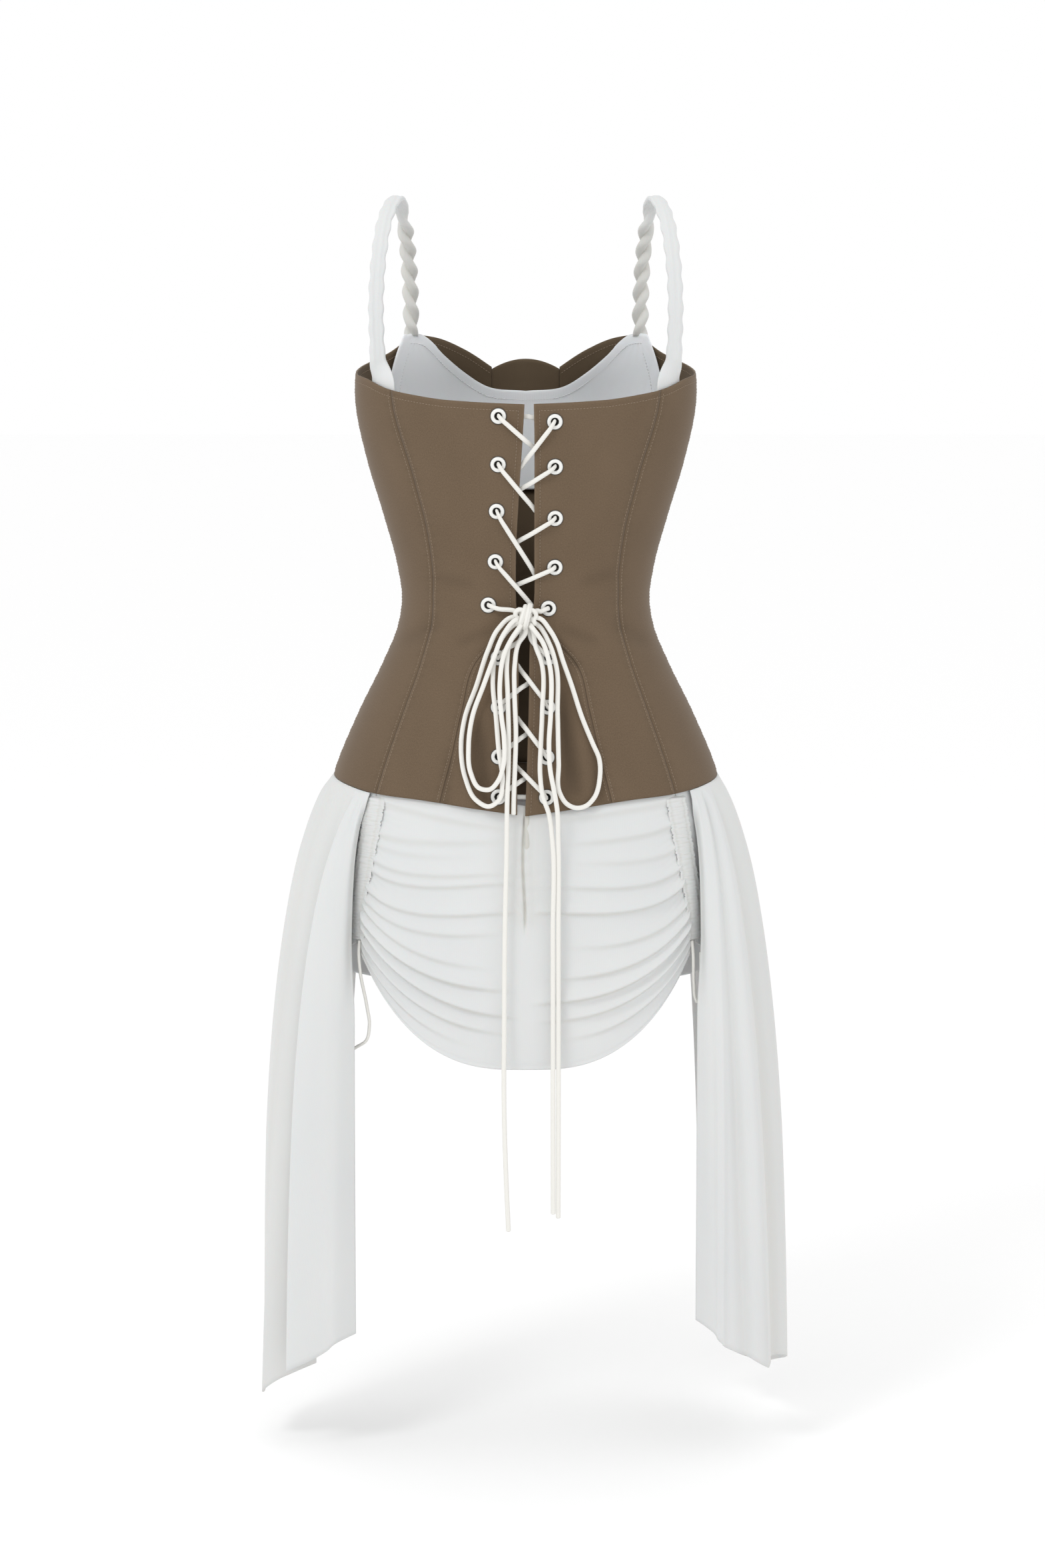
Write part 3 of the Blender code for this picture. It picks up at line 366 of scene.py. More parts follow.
class Paint:
    # One material: constants sit on the shader's own sockets, patterns are fed in.
    def __init__(self, name, constants):
        self.material = bpy.data.materials.new(name)
        self.material.use_nodes = True
        self.tree = self.material.node_tree
        self.shader = self.tree.nodes["Principled BSDF"]
        for socket, value in constants.items():
            self.shader.inputs[socket].default_value = value

    def feed(self, socket, value):
        if isinstance(value, Tone):
            self.tree.links.new(value.socket, socket)
        else:
            socket.default_value = value

    def node(self, kind, settings=None, sockets=None, output=0):
        made = self.tree.nodes.new(kind)
        for key, value in (settings or {}).items():
            if key == "stops":
                while len(made.color_ramp.elements) < len(value):
                    made.color_ramp.elements.new(0.5)
                for stop, (place, colour) in zip(made.color_ramp.elements, value):
                    stop.position, stop.color = place, (*colour, 1.0)
            else:
                setattr(made, key, value)
        for key, value in (sockets or {}).items():
            self.feed(made.inputs[key], value)
        return Tone(self, made.outputs[output])

    def maths(self, operation, first, second=0.0):
        return self.node("ShaderNodeMath", {"operation": operation}, {0: first, 1: second})

    def limit(self, value, low=0.0, high=1.0):
        return self.node("ShaderNodeClamp", None, {0: value, 1: low, 2: high})

    def field(self, name):
        return self.node("ShaderNodeAttribute", {"attribute_name": name}, None, 2)

    def cloth(self, across=1.0, along=1.0):
        # The piece's own UV map, in metres, times a number each way.
        uv = self.node("ShaderNodeUVMap", {"uv_map": "cloth"})
        return self.node("ShaderNodeVectorMath", {"operation": "MULTIPLY"}, {0: uv, 1: (across, along, 1.0)})

    def noise(self, place, scale, detail=2.0, roughness=0.5):
        return self.node("ShaderNodeTexNoise", None,
                         {"Vector": place, "Scale": scale, "Detail": detail, "Roughness": roughness})

    def mix(self, factor, first, second):
        sockets = {0: factor, 6: first if isinstance(first, Tone) else (*first, 1.0),
                   7: second if isinstance(second, Tone) else (*second, 1.0)}
        return self.node("ShaderNodeMix", {"data_type": "RGBA"}, sockets, 2)

    def bump(self, height, strength, distance, normal=None):
        sockets = {"Height": height, "Strength": strength, "Distance": distance}
        if normal is not None:
            sockets["Normal"] = normal
        return self.node("ShaderNodeBump", None, sockets)

    def finish(self, colour, roughness, normal):
        self.feed(self.shader.inputs["Base Color"], colour)
        self.feed(self.shader.inputs["Roughness"], roughness)
        self.feed(self.shader.inputs["Normal"], normal)
        return self.material


suitingLook = {
    "outside": (0.178, 0.125, 0.080), "outsideDark": (0.102, 0.069, 0.041), "lining": (0.112, 0.080, 0.049),
    "hollow": (0.050, 0.034, 0.020),
    "twillPitch": 0.0011, "grain": 0.22, "bump": 0.35,
}


def makeSuiting():
    # Twill: sin of a diagonal distance, broken by stretched noise; the inner face is darker.
    look = suitingLook
    paint = Paint("suitingBrown", {"Specular IOR Level": 0.22, "Sheen Weight": 0.12, "Sheen Roughness": 0.45})
    spot = paint.node("ShaderNodeSeparateXYZ", None, {0: paint.cloth()})
    u = spot
    v = Tone(paint, spot.socket.node.outputs[1])
    twill = paint.maths("SINE", (u + v) * (2 * math.pi / look["twillPitch"])) * 0.5 + 0.5
    yarn = paint.noise(paint.cloth(520, 1500), 1.0, 2.0)
    slub = paint.noise(paint.cloth(1500, 420), 1.0, 2.0)
    cloud = paint.noise(paint.cloth(14, 9), 1.0, 3.0)
    weave = twill * 0.35 + yarn * 0.35 + slub * 0.3
    speckle = paint.noise(paint.cloth(900, 750), 1.0, 2.0)
    shade = paint.limit((weave - 0.5) * look["grain"] * 4 + (speckle - 0.5) * 0.8 + (cloud - 0.5) * 0.6 + 0.5)
    worn = paint.field("worn")
    outside = paint.mix(shade, look["outsideDark"], look["outside"])
    # Painted highlight: lighter tan where light catches the seam ridges and the edges.
    outside = paint.mix(paint.limit(worn) * 0.35, outside, (0.225, 0.163, 0.108))
    # Painted shade: dark brown in the seam grooves, pucker troughs and fold hollows.
    outside = paint.mix(paint.limit(paint.field("hollow")) * 0.55, outside, look["hollow"])
    colour = paint.mix(paint.limit(paint.field("inside")), outside, look["lining"])
    bump = paint.bump(weave, look["bump"], 0.0003)
    return paint.finish(colour, shade * 0.1 + 0.78, bump)


jerseyLook = {
    "white": (0.690, 0.701, 0.697), "cool": (0.640, 0.657, 0.664), "cream": (0.535, 0.515, 0.455),
    "ribPitch": 0.0009, "bump": 0.22,
}
bustLook = {**jerseyLook, "white": (0.840, 0.860, 0.885), "cool": (0.800, 0.822, 0.850), "bump": 0.5}


def makeJersey(name, warmth, look=jerseyLook):
    # Fine ribs: sin of the distance across; painted shade turns folds and hollows cream, the zip tape is cream all over
    # as its own colour, broad clouds turn cool.
    paint = Paint(name, {"Specular IOR Level": 0.2, "Sheen Weight": 0.15, "Sheen Roughness": 0.5,
                         "Subsurface Weight": 0.06, "Subsurface Scale": 0.004})
    spot = paint.node("ShaderNodeSeparateXYZ", None, {0: paint.cloth()})
    rib = paint.maths("SINE", spot * (2 * math.pi / look["ribPitch"])) * 0.5 + 0.5
    loop = paint.noise(paint.cloth(1300, 900), 1.0, 2.0)
    cloud = paint.noise(paint.cloth(9, 5), 1.0, 2.0)
    # Painted shade: cream in folds and hollows.
    hollow = paint.limit(paint.field("crease"))
    colour = paint.mix(paint.limit((cloud - 0.35) * 1.5), look["white"], look["cool"])
    colour = paint.mix(hollow * (0.55 + warmth), colour, look["cream"])
    weave = rib * 0.4 + loop * 0.6
    colour = paint.mix(weave * 0.09, colour, (0.50, 0.51, 0.51))
    # Brown band inside the skirt front's top: partly the corset's hem facing, partly painted shade seen through the
    # lacing gap.
    colour = paint.mix(paint.limit(paint.field("facing")), colour, suitingLook["lining"])
    soft = paint.noise(paint.cloth(60, 24), 1.0, 2.0)
    bump = paint.bump(weave, look["bump"], 0.0002, paint.bump(soft, 0.12, 0.0012))
    return paint.finish(colour, loop * 0.1 + 0.74, bump)


laceLook = {"white": (0.830, 0.820, 0.780), "hollow": (0.640, 0.615, 0.550), "plait": 0.0016, "bump": 0.5}


def makeLace(name="laceWhite"):
    # Plaited tape: two crossing diagonals, product of their sines.
    look = laceLook
    paint = Paint(name, {"Specular IOR Level": 0.25, "Sheen Weight": 0.15})
    spot = paint.node("ShaderNodeSeparateXYZ", None, {0: paint.cloth()})
    u, v = spot, Tone(paint, spot.socket.node.outputs[1])
    turn = 2 * math.pi / look["plait"]
    plait = paint.maths("SINE", (u + v) * turn) * paint.maths("SINE", (u - v) * turn) * 0.5 + 0.5
    fuzz = paint.noise(paint.cloth(900, 900), 1.0, 2.0)
    shade = paint.limit(plait * 0.6 + fuzz * 0.5)
    # Painted shade in the hollows of the plait.
    colour = paint.mix(shade, look["hollow"], look["white"])
    colour = paint.mix(0.72, colour, look["white"])
    return paint.finish(colour, fuzz * 0.1 + 0.62, paint.bump(plait + fuzz * 0.4, look["bump"], 0.0002))


def makeEnamel():
    # White enamel; the rim and the inside of the barrel are dark, partly bare metal and partly painted shade in the gap
    # round the eyelet and down the hole.
    paint = Paint("enamelWhite", {"Specular IOR Level": 0.5, "Coat Weight": 0.35, "Coat Roughness": 0.2})
    rim = paint.limit(paint.field("rim"))
    place = paint.node("ShaderNodeTexCoord", None, None, 3)
    wear = paint.noise(place, 900.0, 3.0)
    edge = paint.limit(rim * 1.6 + (wear - 0.68) * 1.2)
    colour = paint.mix(edge, (0.80, 0.80, 0.775), (0.075, 0.07, 0.062))
    return paint.finish(colour, edge * 0.15 + 0.3 + wear * 0.08, paint.bump(wear, 0.08, 0.0002))


def makeThread(name, light, dark):
    paint = Paint(name, {"Specular IOR Level": 0.3, "Sheen Weight": 0.1})
    ply = paint.maths("SINE", paint.node("ShaderNodeSeparateXYZ", None, {0: paint.cloth()}) * 9000) * 0.5 + 0.5
    return paint.finish(paint.mix(ply, dark, light), 0.62 + ply * 0.08, paint.bump(ply, 0.3, 0.0001))


suiting = makeSuiting()
jersey = makeJersey("jerseyWhite", 0.05)
jerseyGathered = makeJersey("jerseyGathered", 0.25)
bustJersey = makeJersey("bustJersey", 0.0, bustLook)
laceFinish = makeLace()
enamel = makeEnamel()
tanThread = makeThread("tanThread", (0.300, 0.225, 0.155), (0.200, 0.148, 0.100))
whiteThread = makeThread("whiteThread", (0.93, 0.93, 0.93), (0.62, 0.63, 0.64))
print("materials made")

# Cords

cordSizes = {"width": 0.0043, "thick": 0.0026, "drawstring": 0.0030, "behind": -0.0054}
knotForm = {"height": -0.3838, "out": 0.0100, "size": (0.0095, 0.0075, 0.0110), "gap": -0.0030, "stub": 0.003}

# Free cord routes: x, height, distance out. The first row, and a loop's last row, is on the knot.
freeRoutes = {
    "bow_loop_left_outer": (
        (-0.0094, -0.3844, 0.0110), (-0.0240, -0.3960, 0.0120), (-0.0330, -0.4155, 0.0095),
        (-0.0440, -0.4476, 0.0060), (-0.0545, -0.4754, 0.0045), (-0.0580, -0.5015, 0.0042),
        (-0.0543, -0.5283, 0.0042), (-0.0446, -0.5479, 0.0050), (-0.0326, -0.5534, 0.0080),
        (-0.0236, -0.5475, 0.0100), (-0.0206, -0.5330, 0.0105), (-0.0238, -0.5051, 0.0105),
        (-0.0262, -0.4754, 0.0098), (-0.0290, -0.4423, 0.0090), (-0.0258, -0.4155, 0.0085),
        (-0.0190, -0.4010, 0.0090), (-0.0074, -0.3898, 0.0076)),
    "bow_loop_left_inner": (
        (-0.0074, -0.3869, 0.0142), (-0.0190, -0.4010, 0.0148), (-0.0272, -0.4221, 0.0142),
        (-0.0365, -0.4476, 0.0125), (-0.0471, -0.4754, 0.0090), (-0.0505, -0.5015, 0.0088),
        (-0.0487, -0.5240, 0.0092), (-0.0410, -0.5375, 0.0100), (-0.0314, -0.5385, 0.0130),
        (-0.0235, -0.5300, 0.0150), (-0.0195, -0.5170, 0.0152), (-0.0190, -0.4932, 0.0148),
        (-0.0212, -0.4754, 0.0142), (-0.0225, -0.4458, 0.0136), (-0.0185, -0.4191, 0.0140),
        (-0.0110, -0.4030, 0.0150), (-0.0042, -0.3922, 0.0135)),
    "bow_loop_right": (
        (0.0093, -0.3853, 0.0110), (0.0205, -0.3960, 0.0110), (0.0270, -0.4080, 0.0098),
        (0.0325, -0.4240, 0.0075), (0.0405, -0.4458, 0.0055), (0.0502, -0.4748, 0.0045),
        (0.0598, -0.4979, 0.0042), (0.0658, -0.5122, 0.0042), (0.0664, -0.5277, 0.0042),
        (0.0610, -0.5467, 0.0042), (0.0537, -0.5535, 0.0045), (0.0453, -0.5550, 0.0055),
        (0.0362, -0.5510, 0.0080), (0.0300, -0.5415, 0.0098), (0.0290, -0.5152, 0.0098),
        (0.0280, -0.4718, 0.0092), (0.0265, -0.4286, 0.0090), (0.0205, -0.4090, 0.0092),
        (0.0076, -0.3899, 0.0082)),
    "lace_tail_left": (
        (-0.0042, -0.3933, 0.0080), (-0.0140, -0.4080, 0.0090), (-0.0165, -0.4250, 0.0094),
        (-0.0160, -0.4553, 0.0098), (-0.0152, -0.4900, 0.0098), (-0.0155, -0.5217, 0.0098),
        (-0.0165, -0.5479, 0.0100), (-0.0170, -0.5830, 0.0080), (-0.0187, -0.6683, 0.0070),
        (-0.0194, -0.7612, 0.0075), (-0.0195, -0.8237, 0.0100), (-0.0180, -0.8859, 0.0110),
        (-0.0155, -0.9470, 0.0110)),
    "lace_tail_left_short": (
        (0.0000, -0.3947, 0.0090), (-0.0065, -0.4090, 0.0084), (-0.0098, -0.4281, 0.0086),
        (-0.0100, -0.4553, 0.0086), (-0.0088, -0.4900, 0.0086), (-0.0098, -0.5217, 0.0078),
        (-0.0108, -0.5480, 0.0070), (-0.0110, -0.5610, 0.0065)),
    "lace_tail_right_inner": (
        (0.0042, -0.3933, 0.0080), (0.0085, -0.4110, 0.0086), (0.0135, -0.4250, 0.0088),
        (0.0145, -0.4718, 0.0088), (0.0133, -0.5003, 0.0088), (0.0127, -0.5250, 0.0092),
        (0.0150, -0.5440, 0.0100), (0.0205, -0.5600, 0.0090), (0.0235, -0.5830, 0.0080),
        (0.0242, -0.6683, 0.0070), (0.0244, -0.7925, 0.0080), (0.0245, -0.9309, 0.0110)),
    "lace_tail_right_outer": (
        (0.0043, -0.3925, 0.0130), (0.0145, -0.4080, 0.0125), (0.0205, -0.4286, 0.0132),
        (0.0217, -0.4718, 0.0135), (0.0202, -0.5003, 0.0138), (0.0214, -0.5223, 0.0142),
        (0.0243, -0.5378, 0.0144), (0.0275, -0.5558, 0.0130), (0.0288, -0.5830, 0.0085),
        (0.0291, -0.6683, 0.0070), (0.0293, -0.7925, 0.0080), (0.0290, -0.9347, 0.0110)),
}
# Drawstring routes: x, y, height
drawstringRoutes = {
    "drawstring_left": (
        (-0.1534, -0.0735, -0.6836), (-0.1542, -0.0742, -0.6930), (-0.1530, -0.0745, -0.7127),
        (-0.1469, -0.0745, -0.7455), (-0.1447, -0.0740, -0.7630), (-0.1484, -0.0730, -0.7787),
        (-0.1560, -0.0720, -0.7837), (-0.1610, -0.0715, -0.7868)),
    "drawstring_right": (
        (0.1534, -0.0735, -0.6836), (0.1545, -0.0740, -0.6950), (0.1556, -0.0735, -0.7250),
        (0.1570, -0.0730, -0.7380), (0.1590, -0.0732, -0.7420), (0.1610, -0.0730, -0.7380),
        (0.1622, -0.0722, -0.7250), (0.1620, -0.0712, -0.7080), (0.1618, -0.0700, -0.6950)),
}


def knotEnd(spot):
    # Two points square on the knot's surface: just clear of it and a stub's length out.
    size = np.array(knotForm["size"])
    centre = body(0.0, knotForm["height"], knotForm["out"])
    reach = spot - centre
    reach = reach / np.linalg.norm(reach / size)
    square = reach / size ** 2
    square = square / np.linalg.norm(square)
    return centre + reach + square * np.array([[knotForm["gap"]], [knotForm["stub"]]])


def addFreeCords():
    for name, route in freeRoutes.items():
        points = onBack(route)
        start = knotEnd(points[0])
        loop = "loop" in name
        end = knotEnd(points[-1]) if loop else points[-1:]
        path = smoothRoute(np.vstack([start, points[1:-1], end[::-1]]), 0.0015)
        piece = addTube(name + "_look", path, cordSizes["width"], cordSizes["thick"], laceFinish,
                        nodes=(name,))
    for name, route in drawstringRoutes.items():
        path = smoothRoute(route, 0.0012)
        size = cordSizes["drawstring"]
        piece = addTube(name + "_look", path, size, size * 0.8, laceFinish, nodes=(name,))


# Height where the two runs cross, and which run lies on top (-1 from the left)
upperCrossings = ((-0.2310, 1), (-0.2690, -1), (-0.3170, -1), (-0.3560, -1))
lowerCrossings = ((-0.4420, 1), (-0.4870, 1), (-0.5270, 1))


def throughEyelet(x, height, side):
    behind = cordSizes["behind"]
    return [(x - side * 0.0030, height, behind), (x - side * 0.0002, height, -0.0030),
            (x - side * 0.0006, height, 0.0028)]


def crossingRun(start, crossHeight, onTop):
    # Over its own panel, across the gap and behind the other panel, on one straight line.
    side = math.copysign(1, start[0])
    own, far = (2, 1) if side > 0 else (1, 2)
    ownEdge, farEdge = curveAt(lacingEdge, own, crossHeight), curveAt(lacingEdge, far, crossHeight)
    slope = (crossHeight - start[1]) / ((ownEdge if onTop else farEdge) - start[0])
    stations = ((start[0] - side * 0.0034, 0.0048), (start[0] - side * 0.0095, 0.0045),
                (ownEdge + side * 0.0015, 0.0029), (ownEdge - side * 0.0018, 0.0021),
                (farEdge + side * 0.0018, -0.0042), (farEdge - side * 0.0020, -0.0052))
    return [(x, start[1] + slope * (x - start[0]), out) for x, out in stations]


def addLacing():
    places = {-1: [row[:2] for row in eyeletPlaces], 1: [row[2:] for row in eyeletPlaces]}
    behind = cordSizes["behind"]
    for first, word in ((-1, "left"), (1, "right")):
        for upper in (True, False):
            side = first
            order = list(range(5)) if upper else [8, 7, 6, 5]
            crossings = upperCrossings if upper else lowerCrossings[::-1]
            x, height = places[side][order[0]]
            bar = (0.0034, -0.2022) if upper else (-0.0028, places[-1][8][1])
            route = [(bar[0] - side * 0.0014, bar[1], behind)]
            route += throughEyelet(x, height, side)
            for number, (cross, topRun) in enumerate(crossings):
                route += crossingRun(places[side][order[number]], cross, topRun == side)
                side = -side
                route += throughEyelet(*places[side][order[number + 1]], side)
            x, height = places[side][order[-1]]
            knot = knotForm["height"]
            if upper:
                route += [(x - side * 0.0034, height - 0.0010, 0.0048), (x - side * 0.0080, height - 0.0028, 0.0062),
                          (side * 0.0083, knot + 0.0045, 0.0080)]
                points = onBack(route)
                points = np.vstack([points[:-1], knotEnd(points[-1])[::-1]])
            else:
                route += [(x - side * 0.0034, height + 0.0030, 0.0048), (x - side * 0.0080, height + 0.0075, 0.0042),
                          (side * 0.0052, knot - 0.0215, 0.0027), (side * 0.0027, knot - 0.0086, 0.0024)]
                points = onBack(route)
            name = f"lace_{'upper' if upper else 'lower'}_{word}"
            addTube(name + "_look", smoothRoute(points, 0.001), cordSizes["width"], cordSizes["thick"], laceFinish,
                    nodes=(name,))


# Wraps: middle x, lean, reach out, reach up. Bends: x, y and z from the knot's middle, in millimetres.
knotWraps = ((0.0016, 0.22, 0.0072, 0.0112), (-0.0028, 0.30, 0.0062, 0.0098))
knotBends = (
    ((-1.0, -3.0, 3.5), (-5.5, -4.6, 6.8), (-9.0, -3.4, 4.4), (-9.2, -2.4, 0.6), (-6.0, -2.4, -2.0), (-2.0, -1.0, -3.0)),
    ((1.5, -3.0, 4.0), (6.0, -4.2, 6.0), (9.0, -3.4, 3.0), (9.0, -2.6, -0.4), (6.0, -2.6, -3.0), (2.0, -1.0, -3.6)),
    ((-4.0, -2.0, -1.0), (-7.6, -3.8, -4.2), (-8.2, -2.6, -8.6)),
    ((4.0, -2.0, -1.0), (7.4, -3.8, -4.0), (8.6, -2.6, -8.2)),
)


def addKnot():
    # A core, two wraps that pass over it as leaning ovals, and the two bends of cord at its sides.
    size = np.array(knotForm["size"])
    centre = body(0.0, knotForm["height"], knotForm["out"])
    turn = np.linspace(0, 2 * np.pi, 60)
    for number, (middle, lean, out, high) in enumerate(knotWraps):
        z = high * np.sin(turn)
        path = centre + np.stack([middle + lean * z, out * np.cos(turn), z], axis=-1)
        addTube(f"lace_knot_wrap_{number + 1}", path, cordSizes["thick"] * 1.1, cordSizes["width"] * 1.1,
                laceFinish, lead=(1, 0, 0), nodes=("lace_knot",) if number == 0 else ())
    for number, bend in enumerate(knotBends):
        path = smoothRoute(centre + np.array(bend) * 0.001, 0.0008)
        addTube(f"lace_knot_bend_{number + 1}", path, cordSizes["width"], cordSizes["thick"] * 1.1, laceFinish)
    grid = np.linspace(0.02, np.pi - 0.02, 14)[:, None]
    turn = np.linspace(0, 2 * np.pi, 24, endpoint=False)[None, :]
    shape = np.stack([np.sin(grid) * np.cos(turn), np.sin(grid) * np.sin(turn), -np.cos(grid) + 0 * turn], axis=-1)
    points = centre + shape * size * (0.66, 0.62, 0.80)
    index = np.arange(14 * 24).reshape(14, 24)
    after = np.roll(index, -1, axis=1)
    quads = np.stack([index[:-1], after[:-1], after[1:], index[1:]], axis=-1).reshape(-1, 4)
    addPiece("lace_knot_core", points.reshape(-1, 3), quads, laceFinish, points.reshape(-1, 3)[:, [0, 2]], None,
             (index[0][::-1], index[-1]), ())


addFreeCords()
addLacing()
addKnot()
print("cords laid")

# Corset

corsetForm = {
    "wall": 0.0020, "halfGap": 0.00010, "seamDip": 0.00040, "seamWidth": 0.0012, "rowDip": 0.00022, "rowInset": 0.0028, "edgeRow": 0.0050, "topRow": 0.0062,
    "pucker": 0.00022, "puckerPitch": 0.0105, "holeRadius": 0.0050, "goreSplit": 0.4667,
    "scallopRise": 0.0095, "scallopHalf": 0.032,
}
# Soft folds over the back: start x, start height, end x, end height, width, depth
corsetFolds = (
    (-0.0430, -0.4800, -0.0370, -0.5520, 0.0072, -0.0024), (-0.0530, -0.4900, -0.0480, -0.5560, 0.0070, 0.0018),
    (-0.0300, -0.5160, -0.0330, -0.5620, 0.0050, 0.0010), (-0.0690, -0.5090, -0.0740, -0.5600, 0.0050, -0.0010),
    (0.0330, -0.4560, 0.0440, -0.5400, 0.0082, -0.0030), (0.0470, -0.4760, 0.0560, -0.5520, 0.0070, 0.0020),
    (0.0620, -0.5000, 0.0690, -0.5560, 0.0050, -0.0010), (-0.0160, -0.3990, -0.0370, -0.4240, 0.0038, -0.0016),
    (0.0210, -0.3990, 0.0470, -0.4290, 0.0040, -0.0018), (-0.0290, -0.3960, -0.0600, -0.4080, 0.0052, -0.0009),
    (0.0330, -0.3950, 0.0640, -0.4060, 0.0052, -0.0009), (-0.0900, -0.3640, -0.0500, -0.3760, 0.0070, 0.0009),
    (0.0880, -0.3600, 0.0520, -0.3740, 0.0070, 0.0009), (-0.1120, -0.4100, -0.0820, -0.3900, 0.0066, -0.0009),
    (0.1120, -0.4120, 0.0830, -0.3900, 0.0066, -0.0009), (-0.0820, -0.3500, -0.0500, -0.3560, 0.0060, -0.0008),
    (0.0830, -0.3450, 0.0520, -0.3540, 0.0060, -0.0008),
)


def seamLine(index, side, front=False, inset=0.0):
    def line(height):
        return angleAt(side * curveAt(seams, index, height), height, front) + inset / curveAt(sections, 2, height)
    return line


def lacingLine(side, inset=0.0):
    def line(height):
        edge = curveAt(lacingEdge, 2 if side > 0 else 1, height)
        return angleAt(edge + side * inset, height)
    return line


def goreTop(angle, split=corsetForm["goreSplit"]):
    return hemHeight(angle) + (topHeight(angle) - hemHeight(angle)) * split


def seamGaps(angle, height):
    # Arc distances to each seam, positive away from the centre back.
    turn = np.pi - np.abs(np.pi - np.abs(angle))
    reach = np.linalg.norm(plan(angle, height)[..., :2], axis=-1)
    gore = np.abs(angleAt(curveAt(seams, 1, height), height))
    low = height < goreTop(0.0)
    gaps = [np.where(low, turn - gore, 9.0)]
    gaps += [turn - np.abs(angleAt(curveAt(seams, 2, height), height)), turn - np.pi / 2]
    gaps += [turn - np.abs(angleAt(curveAt(seams, index, height), height, True)) for index in (3, 4)]
    return [gap * reach for gap in gaps]


def corsetRelief(angle, height):
    # Sum of: a groove at each seam, shallow dents at the stitched rows, puckers that die away
    # from the seams, a dent under the top row, and the soft folds as bells across their lines.
    shape = corsetForm
    # Beside the relief it gives two colour fields: painted highlight and painted shade.
    relief, worn, hollow = np.zeros_like(height), np.zeros_like(height), np.zeros_like(height)
    for number, gap in enumerate(seamGaps(angle, height)):
        far = np.abs(gap)
        relief -= shape["seamDip"] * np.exp(-(far / shape["seamWidth"]) ** 2)
        relief -= shape["rowDip"] * np.exp(-((far - shape["rowInset"]) / 0.0008) ** 2)
        wave = np.sin(2 * np.pi * height / shape["puckerPitch"] + 2.4 * number + 1.8 * np.sin(41 * height))
        relief += shape["pucker"] * wave * np.exp(-far / 0.0070) * np.where(gap > 0, 1.0, 0.75)
        # Painted highlight on the ridge just beside the seam.
        worn += np.exp(-((far - 0.0012) / 0.0009) ** 2)
        # Painted shade in the seam groove and in the pucker troughs.
        hollow += 0.25 * np.exp(-(far / 0.0006) ** 2) + 0.12 * np.exp(-(far / 0.0060) ** 2)
        hollow += 0.18 * np.clip(-wave, 0, 1) * np.exp(-((far - 0.004) / 0.003) ** 2)
    below = topHeight(angle) - height
    relief -= 1.2 * shape["rowDip"] * np.exp(-((below - shape["topRow"]) / 0.0009) ** 2)
    ripple = np.sin(210 * angle + 3 * np.sin(9 * angle)) * np.exp(-((below - shape["topRow"]) / 0.004) ** 2)
    relief += 0.00008 * ripple
    # Painted highlight along the top edge.
    worn += 0.8 * np.exp(-(below / 0.0010) ** 2)
    x = plan(angle, height)[..., 0]
    back = np.cos(angle) > 0
    for startX, startZ, endX, endZ, width, depth in corsetFolds:
        run = np.array([endX - startX, endZ - startZ])
        share = ((x - startX) * run[0] + (height - startZ) * run[1]) / (run @ run)
        inside = np.clip(share, 0, 1)
        off = np.hypot(x - startX - inside * run[0], height - startZ - inside * run[1])
        bell = np.exp(-(off / width) ** 2) * smoothStep(-0.35, 0.3, share) * (1 - smoothStep(0.75, 1.35, share))
        relief += np.where(back, depth * bell, 0.0)
        # Painted shade along the sunken folds.
        hollow += np.where(back, np.clip(-depth / 0.0028, 0, 1) * bell, 0.0)
    return relief, worn, hollow


def eyeletFrames():
    rows = np.array([(x, z) for row in eyeletPlaces for x, z in (row[:2], row[2:])])
    angle = angleAt(rows[:, 0], rows[:, 1])
    return body(angle, rows[:, 1], 0.0), bodyNormal(angle, rows[:, 1])


def cutHoles(outer, inner):
    # Cells whose middle is within the hole's radius go, and the rim is moved onto the circle.
    rows, columns = outer.shape[:2]
    keep = np.ones((rows - 1, columns - 1), dtype=bool)
    middle = 0.25 * (outer[:-1, :-1] + outer[1:, :-1] + outer[:-1, 1:] + outer[1:, 1:])
    radius = corsetForm["holeRadius"]
    for centre, normal in zip(*eyeletFrames()):
        gone = np.linalg.norm(middle - centre, axis=-1) < radius
        if not gone.any():
            continue
        keep &= ~gone
        near = np.zeros((rows, columns), dtype=bool)
        for down, over in ((0, 0), (0, 1), (1, 0), (1, 1)):
            near[down:rows - 1 + down, over:columns - 1 + over] |= gone
        away = outer - centre
        flat = away - normal * (away @ normal)[..., None]
        far = np.linalg.norm(flat, axis=-1, keepdims=True)
        shift = flat * (radius / np.maximum(far, 1e-6) - 1) * (near & (far[..., 0] > 0.0020))[..., None]
        outer, inner = outer + shift, inner + shift
    return outer, inner, keep


def declareCloth(outer):
    # Two cross products over each cell's sides, which nothing keeps.
    first = np.cross(outer[1:, :-1] - outer[:-1, :-1], outer[:-1, 1:] - outer[:-1, :-1])
    second = np.cross(outer[1:, :-1] - outer[1:, 1:], outer[:-1, 1:] - outer[1:, 1:])


